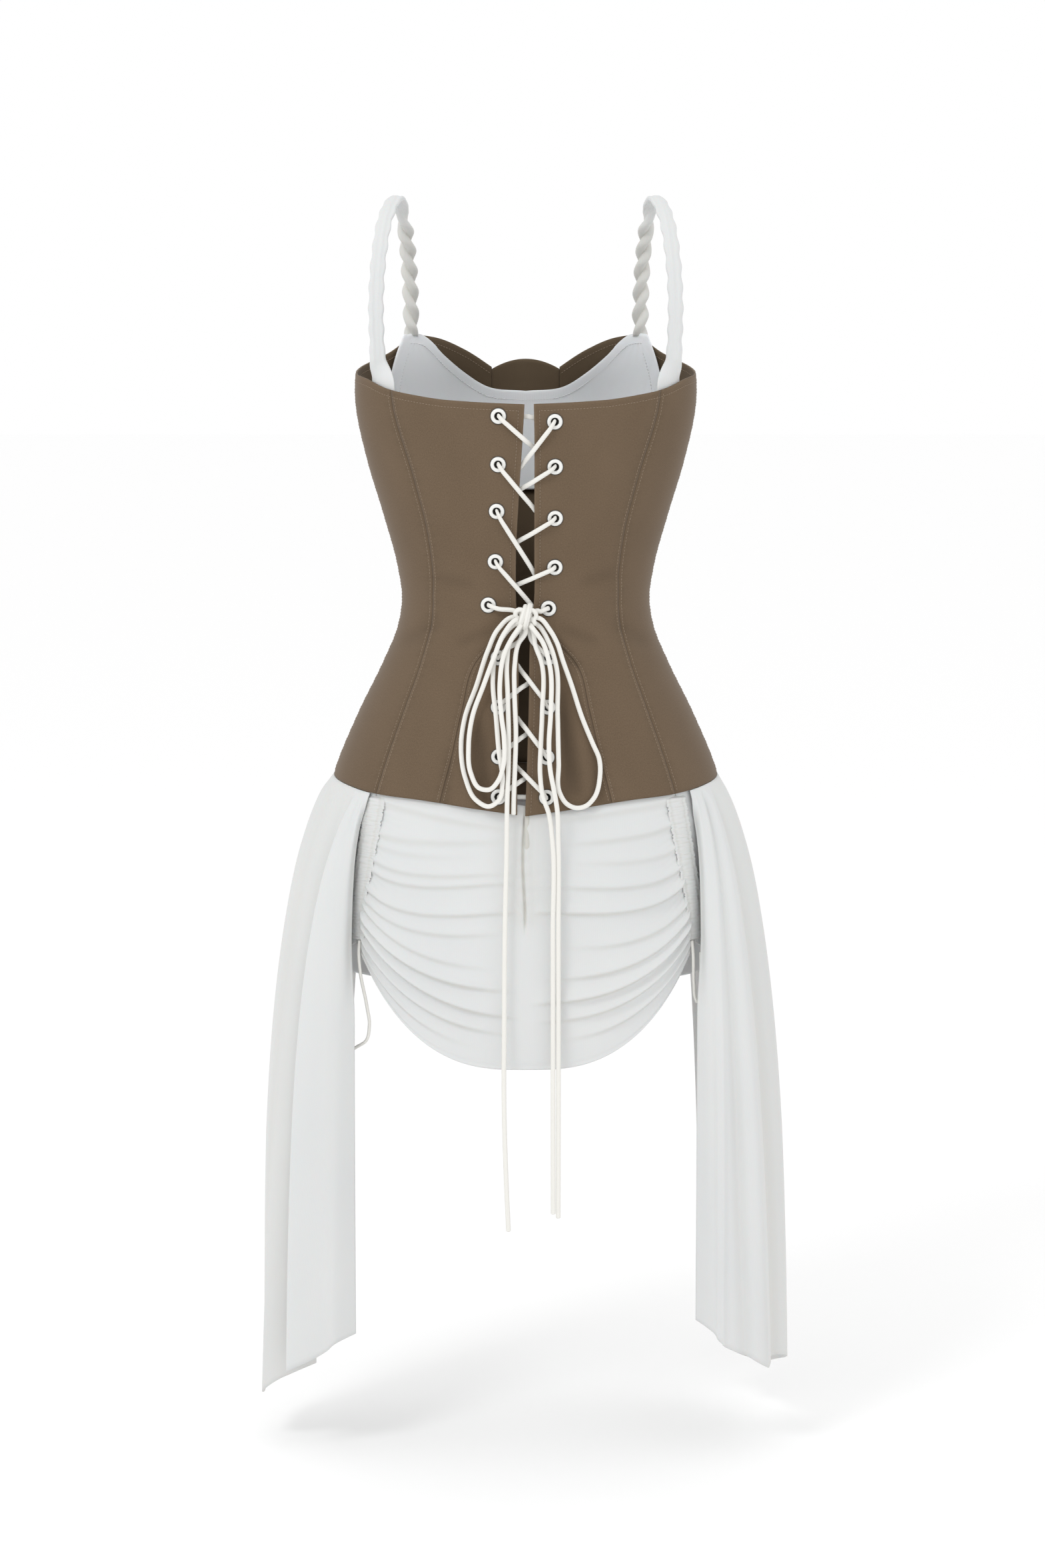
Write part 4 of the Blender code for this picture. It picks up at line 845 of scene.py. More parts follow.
def addCorset():
    shape = corsetForm
    half = shape["halfGap"]
    made = []
    for side, word in ((-1, "left"), (1, "right")):
        lacing = lacingLine(side)
        goreSeam = seamLine(1, side)

        def backEdge(height, lacing=lacing, goreSeam=goreSeam, side=side):
            seam = goreSeam(height) + side * half / curveAt(sections, 2, height)
            return seam + (lacing(height) - seam) * smoothStep(goreTop(0.0), goreTop(0.0) + 0.0065, height)

        def sideLine(sign, side=side):
            return lambda height: side * (np.pi / 2 + sign * 0.001) + 0 * height

        made += [
            (f"corset_back_{word}", backEdge, seamLine(2, side, False, -side * half), hemHeight, topHeight, 44),
            (f"corset_back_gore_{word}", lacing,
             lambda height, goreSeam=goreSeam, side=side: goreSeam(height) - side * half / 0.1, hemHeight, goreTop, 26),
            (f"corset_side_back_{word}", seamLine(2, side, False, side * half), sideLine(-1), hemHeight, topHeight, 30),
            (f"corset_side_front_{word}", sideLine(1), seamLine(3, side, True, -side * half), hemHeight, topHeight, 36),
            (f"corset_front_{word}", seamLine(3, side, True, side * half), seamLine(4, side, True, -side * half),
             hemHeight, topHeight, 28),
        ]
    notch = topHeight(math.radians(163.0))

    def scallop(angle):
        x = plan(angle, notch)[..., 0]
        return notch + shape["scallopRise"] * np.clip(1 - (x / shape["scallopHalf"]) ** 2, 0, 1)

    end = seamLine(4, -1, True, -half)
    made.append(("corset_centre_front", seamLine(4, 1, True, half), lambda height: end(height) + 2 * np.pi,
                 hemHeight, scallop, 26))
    for name, near, far, bottom, top, columns in made:
        left, right = (far, near) if name.endswith("left") else (near, far)
        gore = "gore" in name
        upward = np.linspace(0, 1, 64 if gore else 132)
        if name.startswith("corset_back") and not gore:
            upward = np.unique(np.concatenate([upward, [shape["goreSplit"] + 0.002]]))
        angle, height = spread(left, right, bottom, top, np.linspace(0, 1, columns + 1), upward)
        relief, worn, hollow = corsetRelief(angle, height)
        if name == "corset_centre_front":
            # Painted highlight along the centre front's top edge.
            worn += np.exp(-((height - top(angle)) / 0.001) ** 2)
        outer = body(angle, height, relief)
        inner = body(angle, height, -shape["wall"] + 0.4 * relief)
        keep = None
        if "corset_back" in name:
            edge = lacingGap(angle, height)
            # Painted highlight along the lacing edge.
            worn += 0.9 * np.exp(-(edge / 0.0011) ** 2)
            outer = outer - bodyNormal(angle, height) * (shape["rowDip"] * np.exp(-((edge - shape["edgeRow"]) / 0.0008) ** 2))[..., None]
            outer, inner, keep = cutHoles(outer, inner)
        piece = clothShell(name + "_look", outer, inner, suiting, {"worn": worn, "hollow": hollow}, keep, 0.00012,
                           (name,))
        declareCloth(outer)


def lacingGap(angle, height):
    # Distance from the nearer lacing edge, across the back.
    x = plan(angle, height)[..., 0]
    left, right = curveAt(lacingEdge, 1, height), curveAt(lacingEdge, 2, height)
    return np.where(x > 0.5 * (left + right), x - right, left - x)


addCorset()
print("corset made")

stitchForm = {"pitch": 0.0030, "length": 0.0022, "width": 0.00085, "rise": 0.00036}


def stitchBlock(path, normals, inward=False):
    # Each stitch: three four-sided rings, the middle one full and raised, the ends drawn in.
    shape = stitchForm
    lengths = np.concatenate([[0], np.cumsum(np.linalg.norm(np.diff(path, axis=0), axis=1))])
    starts = np.arange(0.001, lengths[-1] - shape["pitch"], shape["pitch"])
    if len(starts) == 0:
        return np.zeros((0, 3)), np.zeros((0, 4), dtype=int), np.zeros((0, 2))
    places = starts[:, None] + np.array([0, 0.5, 1.0])[None, :] * shape["length"]
    spots = np.stack([np.interp(places, lengths, path[:, axis]) for axis in range(3)], axis=-1)
    up = np.stack([np.interp(places, lengths, normals[:, axis]) for axis in range(3)], axis=-1)
    up *= -1 if inward else 1
    way = spots[:, 2:] - spots[:, :1]
    way = way / np.linalg.norm(way, axis=-1, keepdims=True)
    over = np.cross(way, up)
    thick = np.array([0.45, 1.0, 0.45])[None, :, None]
    high = np.array([0.25, 1.0, 0.25])[None, :, None] * shape["rise"]
    half = 0.5 * shape["width"] * thick
    corners = np.stack([spots - over * half - up * 0.0001, spots - over * half * 0.5 + up * high,
                        spots + over * half * 0.5 + up * high, spots + over * half - up * 0.0001], axis=2)
    ring = np.array([[0, 1, 5, 4], [1, 2, 6, 5], [2, 3, 7, 6], [3, 0, 4, 7]])
    faces = np.concatenate([ring, ring + 4, [[3, 2, 1, 0], [8, 9, 10, 11]]])
    quads = (faces[None] + 12 * np.arange(len(starts))[:, None, None]).reshape(-1, 4)
    uv = np.stack([places[:, :, None] + 0 * np.arange(4), np.arange(4) * 0.0002 + 0 * places[:, :, None]], axis=-1)
    return corners.reshape(-1, 3), quads, uv.reshape(-1, 2)


def joinBlocks(blocks):
    points, quads, uv, count = [], [], [], 0
    for corner, face, spot in blocks:
        points.append(corner)
        quads.append(face + count)
        uv.append(spot)
        count += len(corner)
    return np.concatenate(points), np.concatenate(quads), np.concatenate(uv)


def addStitching():
    # Rows beside the seams, along the lacing edges and under the top edge, outside and inside.
    shape = corsetForm
    blocks = []

    def row(angle, height, inward=False):
        relief = corsetRelief(angle, height)[0]
        out = -shape["wall"] + 0.4 * relief - 0.0001 if inward else relief + 0.0001
        blocks.append(stitchBlock(body(angle, height, out), bodyNormal(angle, height), inward))

    for side in (-1, 1):
        for index, front, low in ((1, False, True), (2, False, False), (3, True, False), (4, True, False)):
            top = goreTop(0.0) - 0.004 if low else -0.115
            height = np.linspace(-0.5650, top, 260)
            for sign in (-1, 1):
                line = seamLine(index, side, front)(height)
                angle = line + sign * shape["rowInset"] / np.linalg.norm(plan(line, height)[:, :2], axis=1)
                inside = (height > hemHeight(angle) + 0.0015) & (height < topHeight(angle) - 0.0015)
                row(angle[inside], height[inside])
        for sign in (-1, 1):
            height = np.linspace(-0.5345, -0.1660, 240)
            row(side * (np.pi / 2 + sign * shape["rowInset"] / 0.15) + 0 * height, height)
        height = np.linspace(hemHeight(0.0) + 0.002, topHeight(0.0) - 0.002, 260)
        row(lacingLine(side, shape["edgeRow"])(height), height)
        start = abs(float(lacingLine(side, shape["edgeRow"])(np.array([topHeight(0.0)]))[0]))
        angle = side * np.linspace(start, math.radians(162.2), 700)
        row(angle, topHeight(angle) - shape["topRow"])
        row(angle[150:], topHeight(angle[150:]) - shape["topRow"], True)
    points, quads, uv = joinBlocks([block for block in blocks if len(block[0])])
    addPiece("corset_topstitching", points, quads, tanThread, uv)


addStitching()

# Profile rows: radius, height, and how much dark rim shows there (bare metal and painted shade).
eyeletForm = {"segments": 40, "profile": (
    (0.00100, -0.00320, 1.0), (0.00320, -0.00220, 1.0), (0.00345, 0.00070, 1.0), (0.00362, 0.00128, 0.6),
    (0.00390, 0.00155, 0.0), (0.00450, 0.00185, 0.0), (0.00540, 0.00188, 0.0), (0.00610, 0.00165, 0.0),
    (0.00676, 0.00112, 0.0), (0.00702, 0.00080, 1.0), (0.00766, 0.00036, 1.0), (0.00760, 0.00002, 1.0),
    (0.00480, -0.00010, 1.0),
    (0.00480, -0.00235, 1.0), (0.00640, -0.00245, 0.6), (0.00635, -0.00300, 0.3), (0.00480, -0.00335, 0.3))}


def addEyelets():
    # A closed profile of radius and height turned round each eyelet's own normal.
    profile = np.array(eyeletForm["profile"])
    count, steps = len(profile), eyeletForm["segments"]
    turn = np.linspace(0, 2 * np.pi, steps, endpoint=False)
    centres, normals = eyeletFrames()
    for side, word in ((0, "left"), (1, "right")):
        points, quads, rims = [], [], []
        for number, (centre, normal) in enumerate(zip(centres[side::2], normals[side::2])):
            first = np.cross(normal, (0.0, 0.0, 1.0))
            first /= np.linalg.norm(first)
            second = np.cross(normal, first)
            spoke = np.cos(turn)[:, None] * first + np.sin(turn)[:, None] * second
            ring = centre + profile[None, :, :1] * spoke[:, None] + profile[None, :, 1:2] * normal
            index = np.arange(steps * count).reshape(steps, count) + number * steps * count
            after, beside = np.roll(index, -1, axis=0), np.roll(index, -1, axis=1)
            quads.append(np.stack([index, beside, np.roll(beside, -1, axis=0), after], axis=-1).reshape(-1, 4))
            points.append(ring.reshape(-1, 3))
            rims.append(np.tile(profile[:, 2], steps))
        points = np.concatenate(points)
        nodes = [f"eyelet_{word}_{number + 1}" for number in range(9)]
        addPiece(f"eyelets_{word}", points, np.concatenate(quads), enamel, points[:, [0, 2]],
                 {"rim": np.concatenate(rims)}, (), nodes)


addEyelets()
print("stitching and eyelets made")

# White bust layer

bustForm = {"out": -0.0066, "wall": 0.0014, "foot": -0.2765, "facing": 0.0090}
bustNeck = np.array([(0.000, -0.1824), (0.034, -0.1775), (0.057, -0.1640), (0.079, -0.1480),
                     (0.100, -0.1302), (0.130, -0.1302)])
bustSide = np.array([(-0.280, 0.1240), (-0.230, 0.1320), (-0.180, 0.1340), (-0.142, 0.1240), (-0.128, 0.1180)])


def addBustLayer():
    # Relief: a step at the facing's row of stitches and soft pleats that fan from the strap feet.
    shape = bustForm

    def edge(side):
        def line(height):
            angle = angleAt(curveAt(bustSide, 1, height), height, True)
            return angle if side > 0 else 2 * np.pi - angle
        return line

    def neck(angle):
        return curveAt(bustNeck, 1, np.abs(plan(angle, -0.15)[..., 0]))

    angle, height = spread(edge(1), edge(-1), lambda a: shape["foot"] + 0 * a, neck,
                           np.linspace(0, 1, 151), np.linspace(0, 1, 71))
    flat = body(angle, height, shape["out"])
    x = flat[..., 0]
    below = neck(angle) - height
    inset = 0.1300 - np.abs(x) - 0.25 * np.clip(-0.15 - height, 0, 0.05)
    near = np.minimum(below * 0.86, np.maximum(inset, 0))
    relief = 0.00012 * (1 - smoothStep(shape["facing"] - 0.0006, shape["facing"] + 0.0010, near))
    relief -= 0.0001 * np.exp(-((near - shape["facing"]) / 0.0008) ** 2)
    relief -= 0.0004 * np.exp(-(near / 0.0012) ** 2)
    fan = np.arctan2(np.abs(x) - 0.108, -0.125 - height)
    far = np.hypot(np.abs(x) - 0.108, height + 0.125)
    relief += 0.0006 * np.sin(23 * fan + 0.8) * np.exp(-far / 0.009)
    relief += 0.0003 * np.sin(70 * x + 60 * height) * smoothStep(-0.2765, -0.2300, height)
    # Painted shade in the hollows of the pleats and under the facing's step.
    crease = smoothRows(relief, 5) - relief
    stitches = []
    for line in (below, inset):
        row = np.argmin(np.abs(line - shape["facing"]), axis=0 if line is below else 1)
        if line is below:
            spots = np.arange(4, angle.shape[1] - 4)
            rows, columns = row[spots], spots
        else:
            columns = None
        if columns is not None:
            at = angle[rows, columns], neck(angle[rows, columns]) - shape["facing"]
            stitches.append(stitchBlock(body(*at, shape["out"] - shape["wall"] - 0.0002), bodyNormal(*at), True))
    for side in (1, -1):
        level = np.linspace(-0.2000, -0.1420, 60)
        at = edge(side)(level) + side * 0.0105 / 0.125, level
        stitches.append(stitchBlock(body(*at, shape["out"] - shape["wall"] - 0.0002), bodyNormal(*at), True))
    points, quads, uv = joinBlocks([block for block in stitches if len(block[0])])
    addPiece("camisole_facing_stitches", points, quads, whiteThread, uv)
    outer = body(angle, height, shape["out"] + relief)
    inner = body(angle, height, shape["out"] - shape["wall"] - relief)
    piece = clothShell("camisole_bust_look", outer, inner, bustJersey, {"crease": crease / 0.0008}, None, 0.0003,
                       ("camisole_bust",))
    declareCloth(outer)


def smoothRows(values, reach):
    # Running mean up the rows.
    padded = np.concatenate([values[:1].repeat(reach, 0), values, values[-1:].repeat(reach, 0)])
    total = np.cumsum(np.concatenate([0 * padded[:1], padded]), axis=0)
    return (total[2 * reach + 1:] - total[:-2 * reach - 1]) / (2 * reach + 1)


addBustLayer()

# Straps

strapForm = {
    "sides": 56, "strand": 0.0047, "apart": 0.0031, "pitch": 0.0390, "bandWidth": 0.0136, "bandThick": 0.0058,
    "footHalf": 0.0118, "footOut": -0.0044, "footThick": 0.0026, "ropeEnd": 0.25, "bandStart": 0.38,
}
# Centre line on one side: x, y, height
strapRoute = np.array([
    (0.1080, 0.0690, -0.1310), (0.1082, 0.0720, -0.1050), (0.1096, 0.0660, -0.0650), (0.1125, 0.0480, -0.0310),
    (0.1190, 0.0050, -0.0046), (0.1290, -0.0370, -0.0270), (0.1340, -0.0520, -0.0620), (0.1362, -0.0560, -0.1000),
    (0.1355, -0.0525, -0.1400), (0.1340, -0.0485, -0.1703), (0.1335, -0.0480, -0.1940),
])


def addStraps():
    # Front: the outline of two touching strands, r = d |cos| + sqrt(R2 - d2 sin2), turned along the
    # path. Past the shoulder the turning dies away and it opens to a flat band. The foot widens and
    # is bent to the inside of the back: x becomes an angle, y a distance in from the corset.
    shape = strapForm
    strand, apart = shape["strand"], shape["apart"]
    turn = np.linspace(0, 2 * np.pi, shape["sides"], endpoint=False)[None, :]
    cos, sin = np.cos(turn), np.sin(turn)
    radius = apart * np.abs(cos) + np.sqrt(strand ** 2 - (apart * sin) ** 2)
    for side, word in ((-1, "left"), (1, "right")):
        path = smoothRoute(strapRoute * (side, 1, 1), 0.0010)
        lengths = np.concatenate([[0], np.cumsum(np.linalg.norm(np.diff(path, axis=0), axis=1))])
        share = (lengths / lengths[-1])[:, None]
        _, first, second = carried(path, (1.0, 0.0, 0.0))
        rate = 1 - smoothStep(shape["ropeEnd"] - 0.02, shape["bandStart"] + 0.04, share[:, 0])
        spin = np.concatenate([[0], np.cumsum(0.5 * (rate[1:] + rate[:-1]) * np.diff(lengths))])
        halves = round(2 * spin[-1] / shape["pitch"])
        twist = (side * np.pi * halves * (spin / spin[-1] - 1))[:, None]
        flat = smoothStep(shape["ropeEnd"], shape["bandStart"], share)
        foot = smoothStep(0.86, 0.95, share)
        lump = 1 + 0.035 * np.sin(2 * np.pi * lengths / 0.0182 + 0.9 * side)[:, None] * (1 - flat)
        ropeX, ropeY = radius * cos * lump, radius * sin * lump
        half = 0.5 * shape["bandWidth"] + (shape["footHalf"] - 0.5 * shape["bandWidth"]) * foot
        calm = 1 - np.exp(-((share - 0.41) / 0.06) ** 2)
        half = half + 0.0006 * np.sin(2 * np.pi * lengths / 0.0190)[:, None] * (1 - foot) * calm
        thick = shape["bandThick"] + (shape["footThick"] - shape["bandThick"]) * foot
        bandX = half * np.sign(cos) * np.abs(cos) ** 0.8
        bandY = 0.5 * thick * np.sign(sin) * np.abs(sin) ** 0.7
        pleat = 0.08 * np.cos(9 * bandX / half + 1.5 * side) + 0.10 * np.cos(5 * bandX / half + side * 12 * share)
        bandY = bandY * (1 + pleat * (1 - 0.6 * foot))
        x, y = ropeX * (1 - flat) + bandX * flat, ropeY * (1 - flat) + bandY * flat
        start = smoothStep(-0.004, 0.010, lengths)[:, None]
        x, y = x * (0.85 + 0.15 * start), y * (0.55 + 0.45 * start)
        over = (x * np.cos(twist) - y * np.sin(twist))[..., None]
        out = (x * np.sin(twist) + y * np.cos(twist))[..., None]
        points = path[:, None] + over * first[:, None] + out * second[:, None]
        low = np.minimum(path[:, 2], -0.15)[:, None] + 0 * turn
        angle = angleAt(path[:, 0], low[:, 0])[:, None] + x / 0.125
        hugged = body(angle, low, shape["footOut"] + y)
        hug = smoothStep(-0.150, -0.170, path[:, 2])[:, None, None]
        points = points + (hugged - points) * hug
        # Painted shade over the twisted rope, deepest in the grooves between the strands; the flat band gets none.
        crease = (np.exp(-((np.abs(cos) / 0.30) ** 2)) * 0.45 + 0.75) * (1 - flat) + 0 * share
        index = np.arange(points.shape[0] * points.shape[1]).reshape(points.shape[:2])
        after = np.roll(index, -1, axis=1)
        quads = np.stack([index[:-1], after[:-1], after[1:], index[1:]], axis=-1).reshape(-1, 4)
        uv = np.stack([turn * 0.006 + 0 * share, lengths[:, None] + 0 * turn], axis=-1)
        nodes = (f"strap_{word}_strand_1", f"strap_{word}_strand_2", f"strap_tab_{word}")
        piece = addPiece(f"strap_{word}_look", points.reshape(-1, 3), quads, jersey, uv.reshape(-1, 2),
                         {"crease": crease.ravel()}, (index[0][::-1], index[-1]), nodes)


addStraps()
print("bust layer and straps made")

# Skirt

skirtForm = {
    "out": -0.0036, "wall": 0.0014, "overlap": 0.0090, "backDrop": -0.7985, "frontDrop": -0.7700,
    "sideFoot": -0.6870, "footPull": 1.7, "hemPower": 3.3, "gather": 0.0009, "gathers": 31, "halfGap": 0.00015,
    "swag": 1.7, "tape": (-0.0008, 0.0030, 0.035, 0.165),
}
ruchedSeam = np.array([(-0.690, 0.1590), (-0.650, 0.1572), (-0.617, 0.1514), (-0.577, 0.1440), (-0.530, 0.1360)])
# Swags on one side: share at the seam, share at the middle, where it dies away, depth, width above, width below
swagsLeft = (
    (0.049, 0.090, 0.06, 0.0012, 0.034, 0.012), (0.174, 0.135, 0.12, 0.0010, 0.026, 0.012),
    (0.217, 0.190, 0.40, 0.0007, 0.020, 0.010), (0.284, 0.255, 0.10, 0.0014, 0.028, 0.009),
    (0.331, 0.290, 0.04, 0.0016, 0.022, 0.008), (0.423, 0.400, 0.00, 0.0018, 0.032, 0.008),
    (0.479, 0.480, 0.16, 0.0015, 0.032, 0.009), (0.518, 0.620, 0.26, 0.0018, 0.034, 0.009),
    (0.582, 0.700, 0.12, 0.0032, 0.042, 0.008), (0.640, 0.800, 0.06, 0.0034, 0.046, 0.008),
    (0.737, 0.865, 0.14, 0.0026, 0.036, 0.009), (0.850, 0.925, 0.36, 0.0013, 0.026, 0.011),
)
swagsRight = (
    (0.050, 0.060, 0.10, 0.0012, 0.030, 0.012), (0.140, 0.150, 0.24, 0.0013, 0.026, 0.010),
    (0.238, 0.210, 0.34, 0.0010, 0.026, 0.010), (0.325, 0.300, 0.14, 0.0016, 0.028, 0.009),
    (0.400, 0.400, 0.00, 0.0022, 0.034, 0.008), (0.505, 0.530, 0.30, 0.0015, 0.034, 0.010),
    (0.573, 0.655, 0.16, 0.0024, 0.044, 0.009), (0.640, 0.745, 0.04, 0.0033, 0.044, 0.008),
    (0.720, 0.815, 0.12, 0.0026, 0.034, 0.009), (0.820, 0.890, 0.26, 0.0017, 0.030, 0.010),
)


def skirtLine(side, inset=0.0):
    def line(height):
        return angleAt(side * curveAt(ruchedSeam, 1, height), height) + inset / curveAt(sections, 2, height)
    return line


def swagRelief(turn, share, table):
    # Each swag: a bell across its line, broad above and steep below, dying toward the middle.
    # Its thin shadow line runs just under the bell.
    relief, shadow = 0 * turn * share, 0 * turn * share
    far = np.abs(turn)
    for edge, middle, reach, depth, above, below in table:
        line = middle + (edge - middle) * far ** 1.5
        off = share - line
        under = np.clip(1 - off / (2.2 * below), 0, 1) ** 1.5
        bell = np.where(off < 0, np.exp(-(off / above) ** 2), under)
        present = depth * smoothStep(reach - 0.10, reach + 0.36, far) * smoothStep(0.0, 0.10, far)
        relief = relief + present * bell
        shadow = shadow + present / 0.0030 * np.exp(-((off - 0.8 * below) / (0.9 * below)) ** 2)
    return relief, shadow


def addSkirtBack():
    # Rows hang between the corset's hem and the curved skirt hem, drawn together at the seams.
    shape = skirtForm
    turn = np.linspace(-1, 1, 205)[None, :]
    turn = turn - 0.6 * np.sin(2 * np.pi * turn) / (2 * np.pi)
    share = np.linspace(0, 1, 161)[:, None]
    height = -0.6 + 0 * turn * share
    for _ in range(14):
        left, right = skirtLine(-1, shape["halfGap"])(height), skirtLine(1, -shape["halfGap"])(height)
        angle = left + (right - left) * (turn + 1) / 2
        top = hemHeight(angle) + shape["overlap"]
        hem = shape["backDrop"] + (shape["sideFoot"] - shape["backDrop"]) * np.abs(turn) ** shape["hemPower"]
        pulled = 1 - (1 - share) ** shape["footPull"]
        drop = share + (pulled - share) * turn ** 2
        height = top + (hem - top) * drop
    far = np.abs(turn)
    relief, shadow = np.where(turn < 0, swagRelief(turn, share, swagsLeft), swagRelief(turn, share, swagsRight))
    relief = shape["swag"] * relief
    phase = 2 * np.pi * shape["gathers"] * drop + 1.6 * np.sin(9 * drop + 2 * np.sign(turn)) + 2.5 * (1 - far)
    gathers = shape["gather"] * np.sin(phase) * np.exp(-(1 - far) / 0.055)
    gathers = gathers + 0.0005 * np.sin(phase * 1.9 + 1.3) * np.exp(-(1 - far) / 0.03)
    relief = relief + gathers * smoothStep(0.0, 0.05, share)
    x = plan(angle, height)[..., 0]
    seam = np.abs(x + 0.0018 + 0.0010 * np.sin(60 * height))
    closing = 1 - smoothStep(0.40, 0.50, share)
    relief = relief - 0.0020 * np.exp(-(seam / 0.0011) ** 2) * closing
    relief = relief + 0.0007 * np.exp(-((seam - 0.0045) / 0.0030) ** 2) * closing
    pucker = np.sin(2 * np.pi * height / 0.017 + 1.5 * np.sin(50 * height)) * np.exp(-seam / 0.011)
    relief = relief + 0.0006 * pucker * closing
    relief = relief - 0.0006 * np.exp(-((share - 0.985) / 0.010) ** 2)
    underCorset = smoothStep(0.018, 0.060, share * 1.0)
    relief = relief * underCorset * smoothStep(0.0, 0.055, 1 - far)
    # Painted shade: thin lines under the swags and beside the gathered side seams; along the centre seam a narrow dark
    # seam line and a broad band of painted shade.
    crease = 0.9 * np.clip(shadow, 0, 1) + 0.35 * np.exp(-(1 - far) / 0.03)
    crease = crease + (1.4 * np.exp(-(seam / 0.0010) ** 2) + 0.35 * np.exp(-(seam / 0.018) ** 2)) * closing
    outer = body(angle, height, shape["out"] + relief)[::-1]
    inner = body(angle, height, shape["out"] + relief - shape["wall"])[::-1]
    piece = clothShell("skirt_back_look", outer, inner, jersey, {"crease": crease[::-1]}, None, 0.0003,
                       ("skirt_back",))
    declareCloth(outer)
    # The end of the zip tape shows as a narrow strip just right of the seam.
    low, high, start, end = shape["tape"]
    across = np.linspace(0, 1, 7)[None, :]
    down = np.linspace(end, start, 40)[:, None]
    level = hemHeight(0.0) + shape["overlap"] + (shape["backDrop"] - hemHeight(0.0) - shape["overlap"]) * down
    x = low + (high - low) * across + 0.00012 * np.sin(60 * down) + 0 * level
    lift = shape["out"] + 0.0006 + 0.0005 * np.sin(np.pi * across) + 0.0002 * np.sin(140 * down)
    front = body(angleAt(x, level + 0 * x), level + 0 * x, lift)
    back = body(angleAt(x, level + 0 * x), level + 0 * x, lift - 0.0010)
    tape = clothShell("zip_tape", front, back, jerseyGathered, {"crease": 0.9 + 0 * x}, None, 0.0002, ())
    declareCloth(front)


def addSkirtFront():
    # The same cut at the front: level at the sides, a low curved hem, softer swags.
    shape = skirtForm
    turn = np.linspace(-1, 1, 161)[None, :]
    share = np.linspace(0, 1, 97)[:, None]
    height = -0.6 + 0 * turn * share
    for _ in range(14):
        start = skirtLine(1, 0.0008)(height)
        angle = np.pi + (np.pi - start) * turn
        top = hemHeight(angle) + shape["overlap"]
        hem = shape["frontDrop"] + (shape["sideFoot"] - shape["frontDrop"]) * np.abs(turn) ** 2
        height = top + (hem - top) * share
    far = np.abs(turn)
    # The drapes cover the outer half, so the swags start where they end.
    reach = np.sign(turn) * np.minimum(1.75 * far, 1)
    relief, shadow = np.where(turn < 0, swagRelief(reach, share, swagsRight), swagRelief(reach, share, swagsLeft))
    relief = 1.6 * relief
    phase = 2 * np.pi * shape["gathers"] * share + 1.3 * np.sin(8 * share)
    relief = relief + 0.8 * shape["gather"] * np.sin(phase) * np.exp(-(1 - far) / 0.06)
    relief = relief * smoothStep(0.06, 0.16, share) * smoothStep(0.0, 0.03, 1 - far)
    # Under the drapes the cloth lies flat.
    relief = relief * (0.15 + 0.85 * (1 - smoothStep(0.52, 0.72, far)))
    # Painted shade under the swags, fading out under the drapes.
    crease = 0.8 * np.clip(shadow, 0, 1) * (1 - smoothStep(0.52, 0.72, far))
    outer = body(angle, height, shape["out"] + relief)[::-1]
    inner = body(angle, height, shape["out"] + relief - shape["wall"])[::-1]
    # Brown band inside the top: partly facing, partly painted shade seen through the lacing gap.
    facing = (1 - smoothStep(0.14, 0.17, share)) + 0 * height
    piece = clothShell("skirt_front_look", outer, inner, jersey, {"crease": crease[::-1], "facing": facing[::-1]}, None, 0.0003,
                       ("skirt_front",))
    declareCloth(outer)


channelForm = {"width": 0.0092, "turn": 0.0086, "low": -0.6830, "high": -0.5435, "out": -0.0015, "wall": 0.0011,
               "gather": 0.0004, "pitch": 0.0042}


def addChannels():
    # A gathered tunnel beside each ruched seam: ripples across, edges that waver with them.
    shape = channelForm
    for side, word in ((-1, "left"), (1, "right")):
        upward = np.linspace(0, 1, 281)[:, None]
        across = np.linspace(0, 1, 15)[None, :]
        run = shape["high"] - shape["low"]
        height = shape["low"] + upward * run + 0 * across
        phase = 2 * np.pi * (upward * run / shape["pitch"]) + 2.6 * np.sin(17 * upward + side) + 1.7 * np.sin(43 * upward)
        waver = 0.0003 * np.sin(phase + 0.7) * (1 - 2 * across) + 0.0004 * np.sin(0.37 * phase) + 0.0002 * np.sin(1.31 * phase)
        seam = skirtLine(side)(height)
        reach = shape["width"] - (shape["width"] + shape["turn"]) * across + waver
        reach = reach / curveAt(ruchedSeam, 1, height)
        angle = seam - reach if side > 0 else seam + reach[:, ::-1]
        swell = np.sin(np.pi * across) ** 0.7
        rows = np.exp(-((across - 0.16) / 0.05) ** 2) + np.exp(-((across - 0.80) / 0.05) ** 2)
        uneven = 0.55 + 0.45 * np.sin(0.23 * phase + 1.0)
        relief = shape["gather"] * (0.6 + 0.4 * uneven * np.sin(phase + 3.0 * across)) * swell + 0.0006 * swell
        relief = relief + 0.0001 * np.sin(1.73 * phase - 5 * across) - 0.0006 * rows
        if side < 0:
            relief = relief[:, ::-1]
        # Painted shade in the hollows of the gathers and along the stitched rows, with a little over the whole channel.
        crease = np.clip((smoothRows(relief, 4) - relief) / 0.0004, 0, 1) * 0.5 + 0.10 + 0.35 * rows
        # The top end is pressed flat under the corset.
        pressed = smoothStep(shape["high"] - 0.0080, shape["high"] - 0.0040, height)
        outer = body(angle, height, shape["out"] + relief * (1 - pressed) - 0.0028 * pressed)
        inner = body(angle, height, shape["out"] - shape["wall"] - 0.0028 * pressed)
        piece = clothShell(f"ruching_channel_{word}_look", outer, inner, jerseyGathered, {"crease": crease}, None,
                           0.0003, (f"ruching_channel_{word}",))
        declareCloth(outer)


addSkirtBack()
addSkirtFront()
addChannels()
print("skirt made")

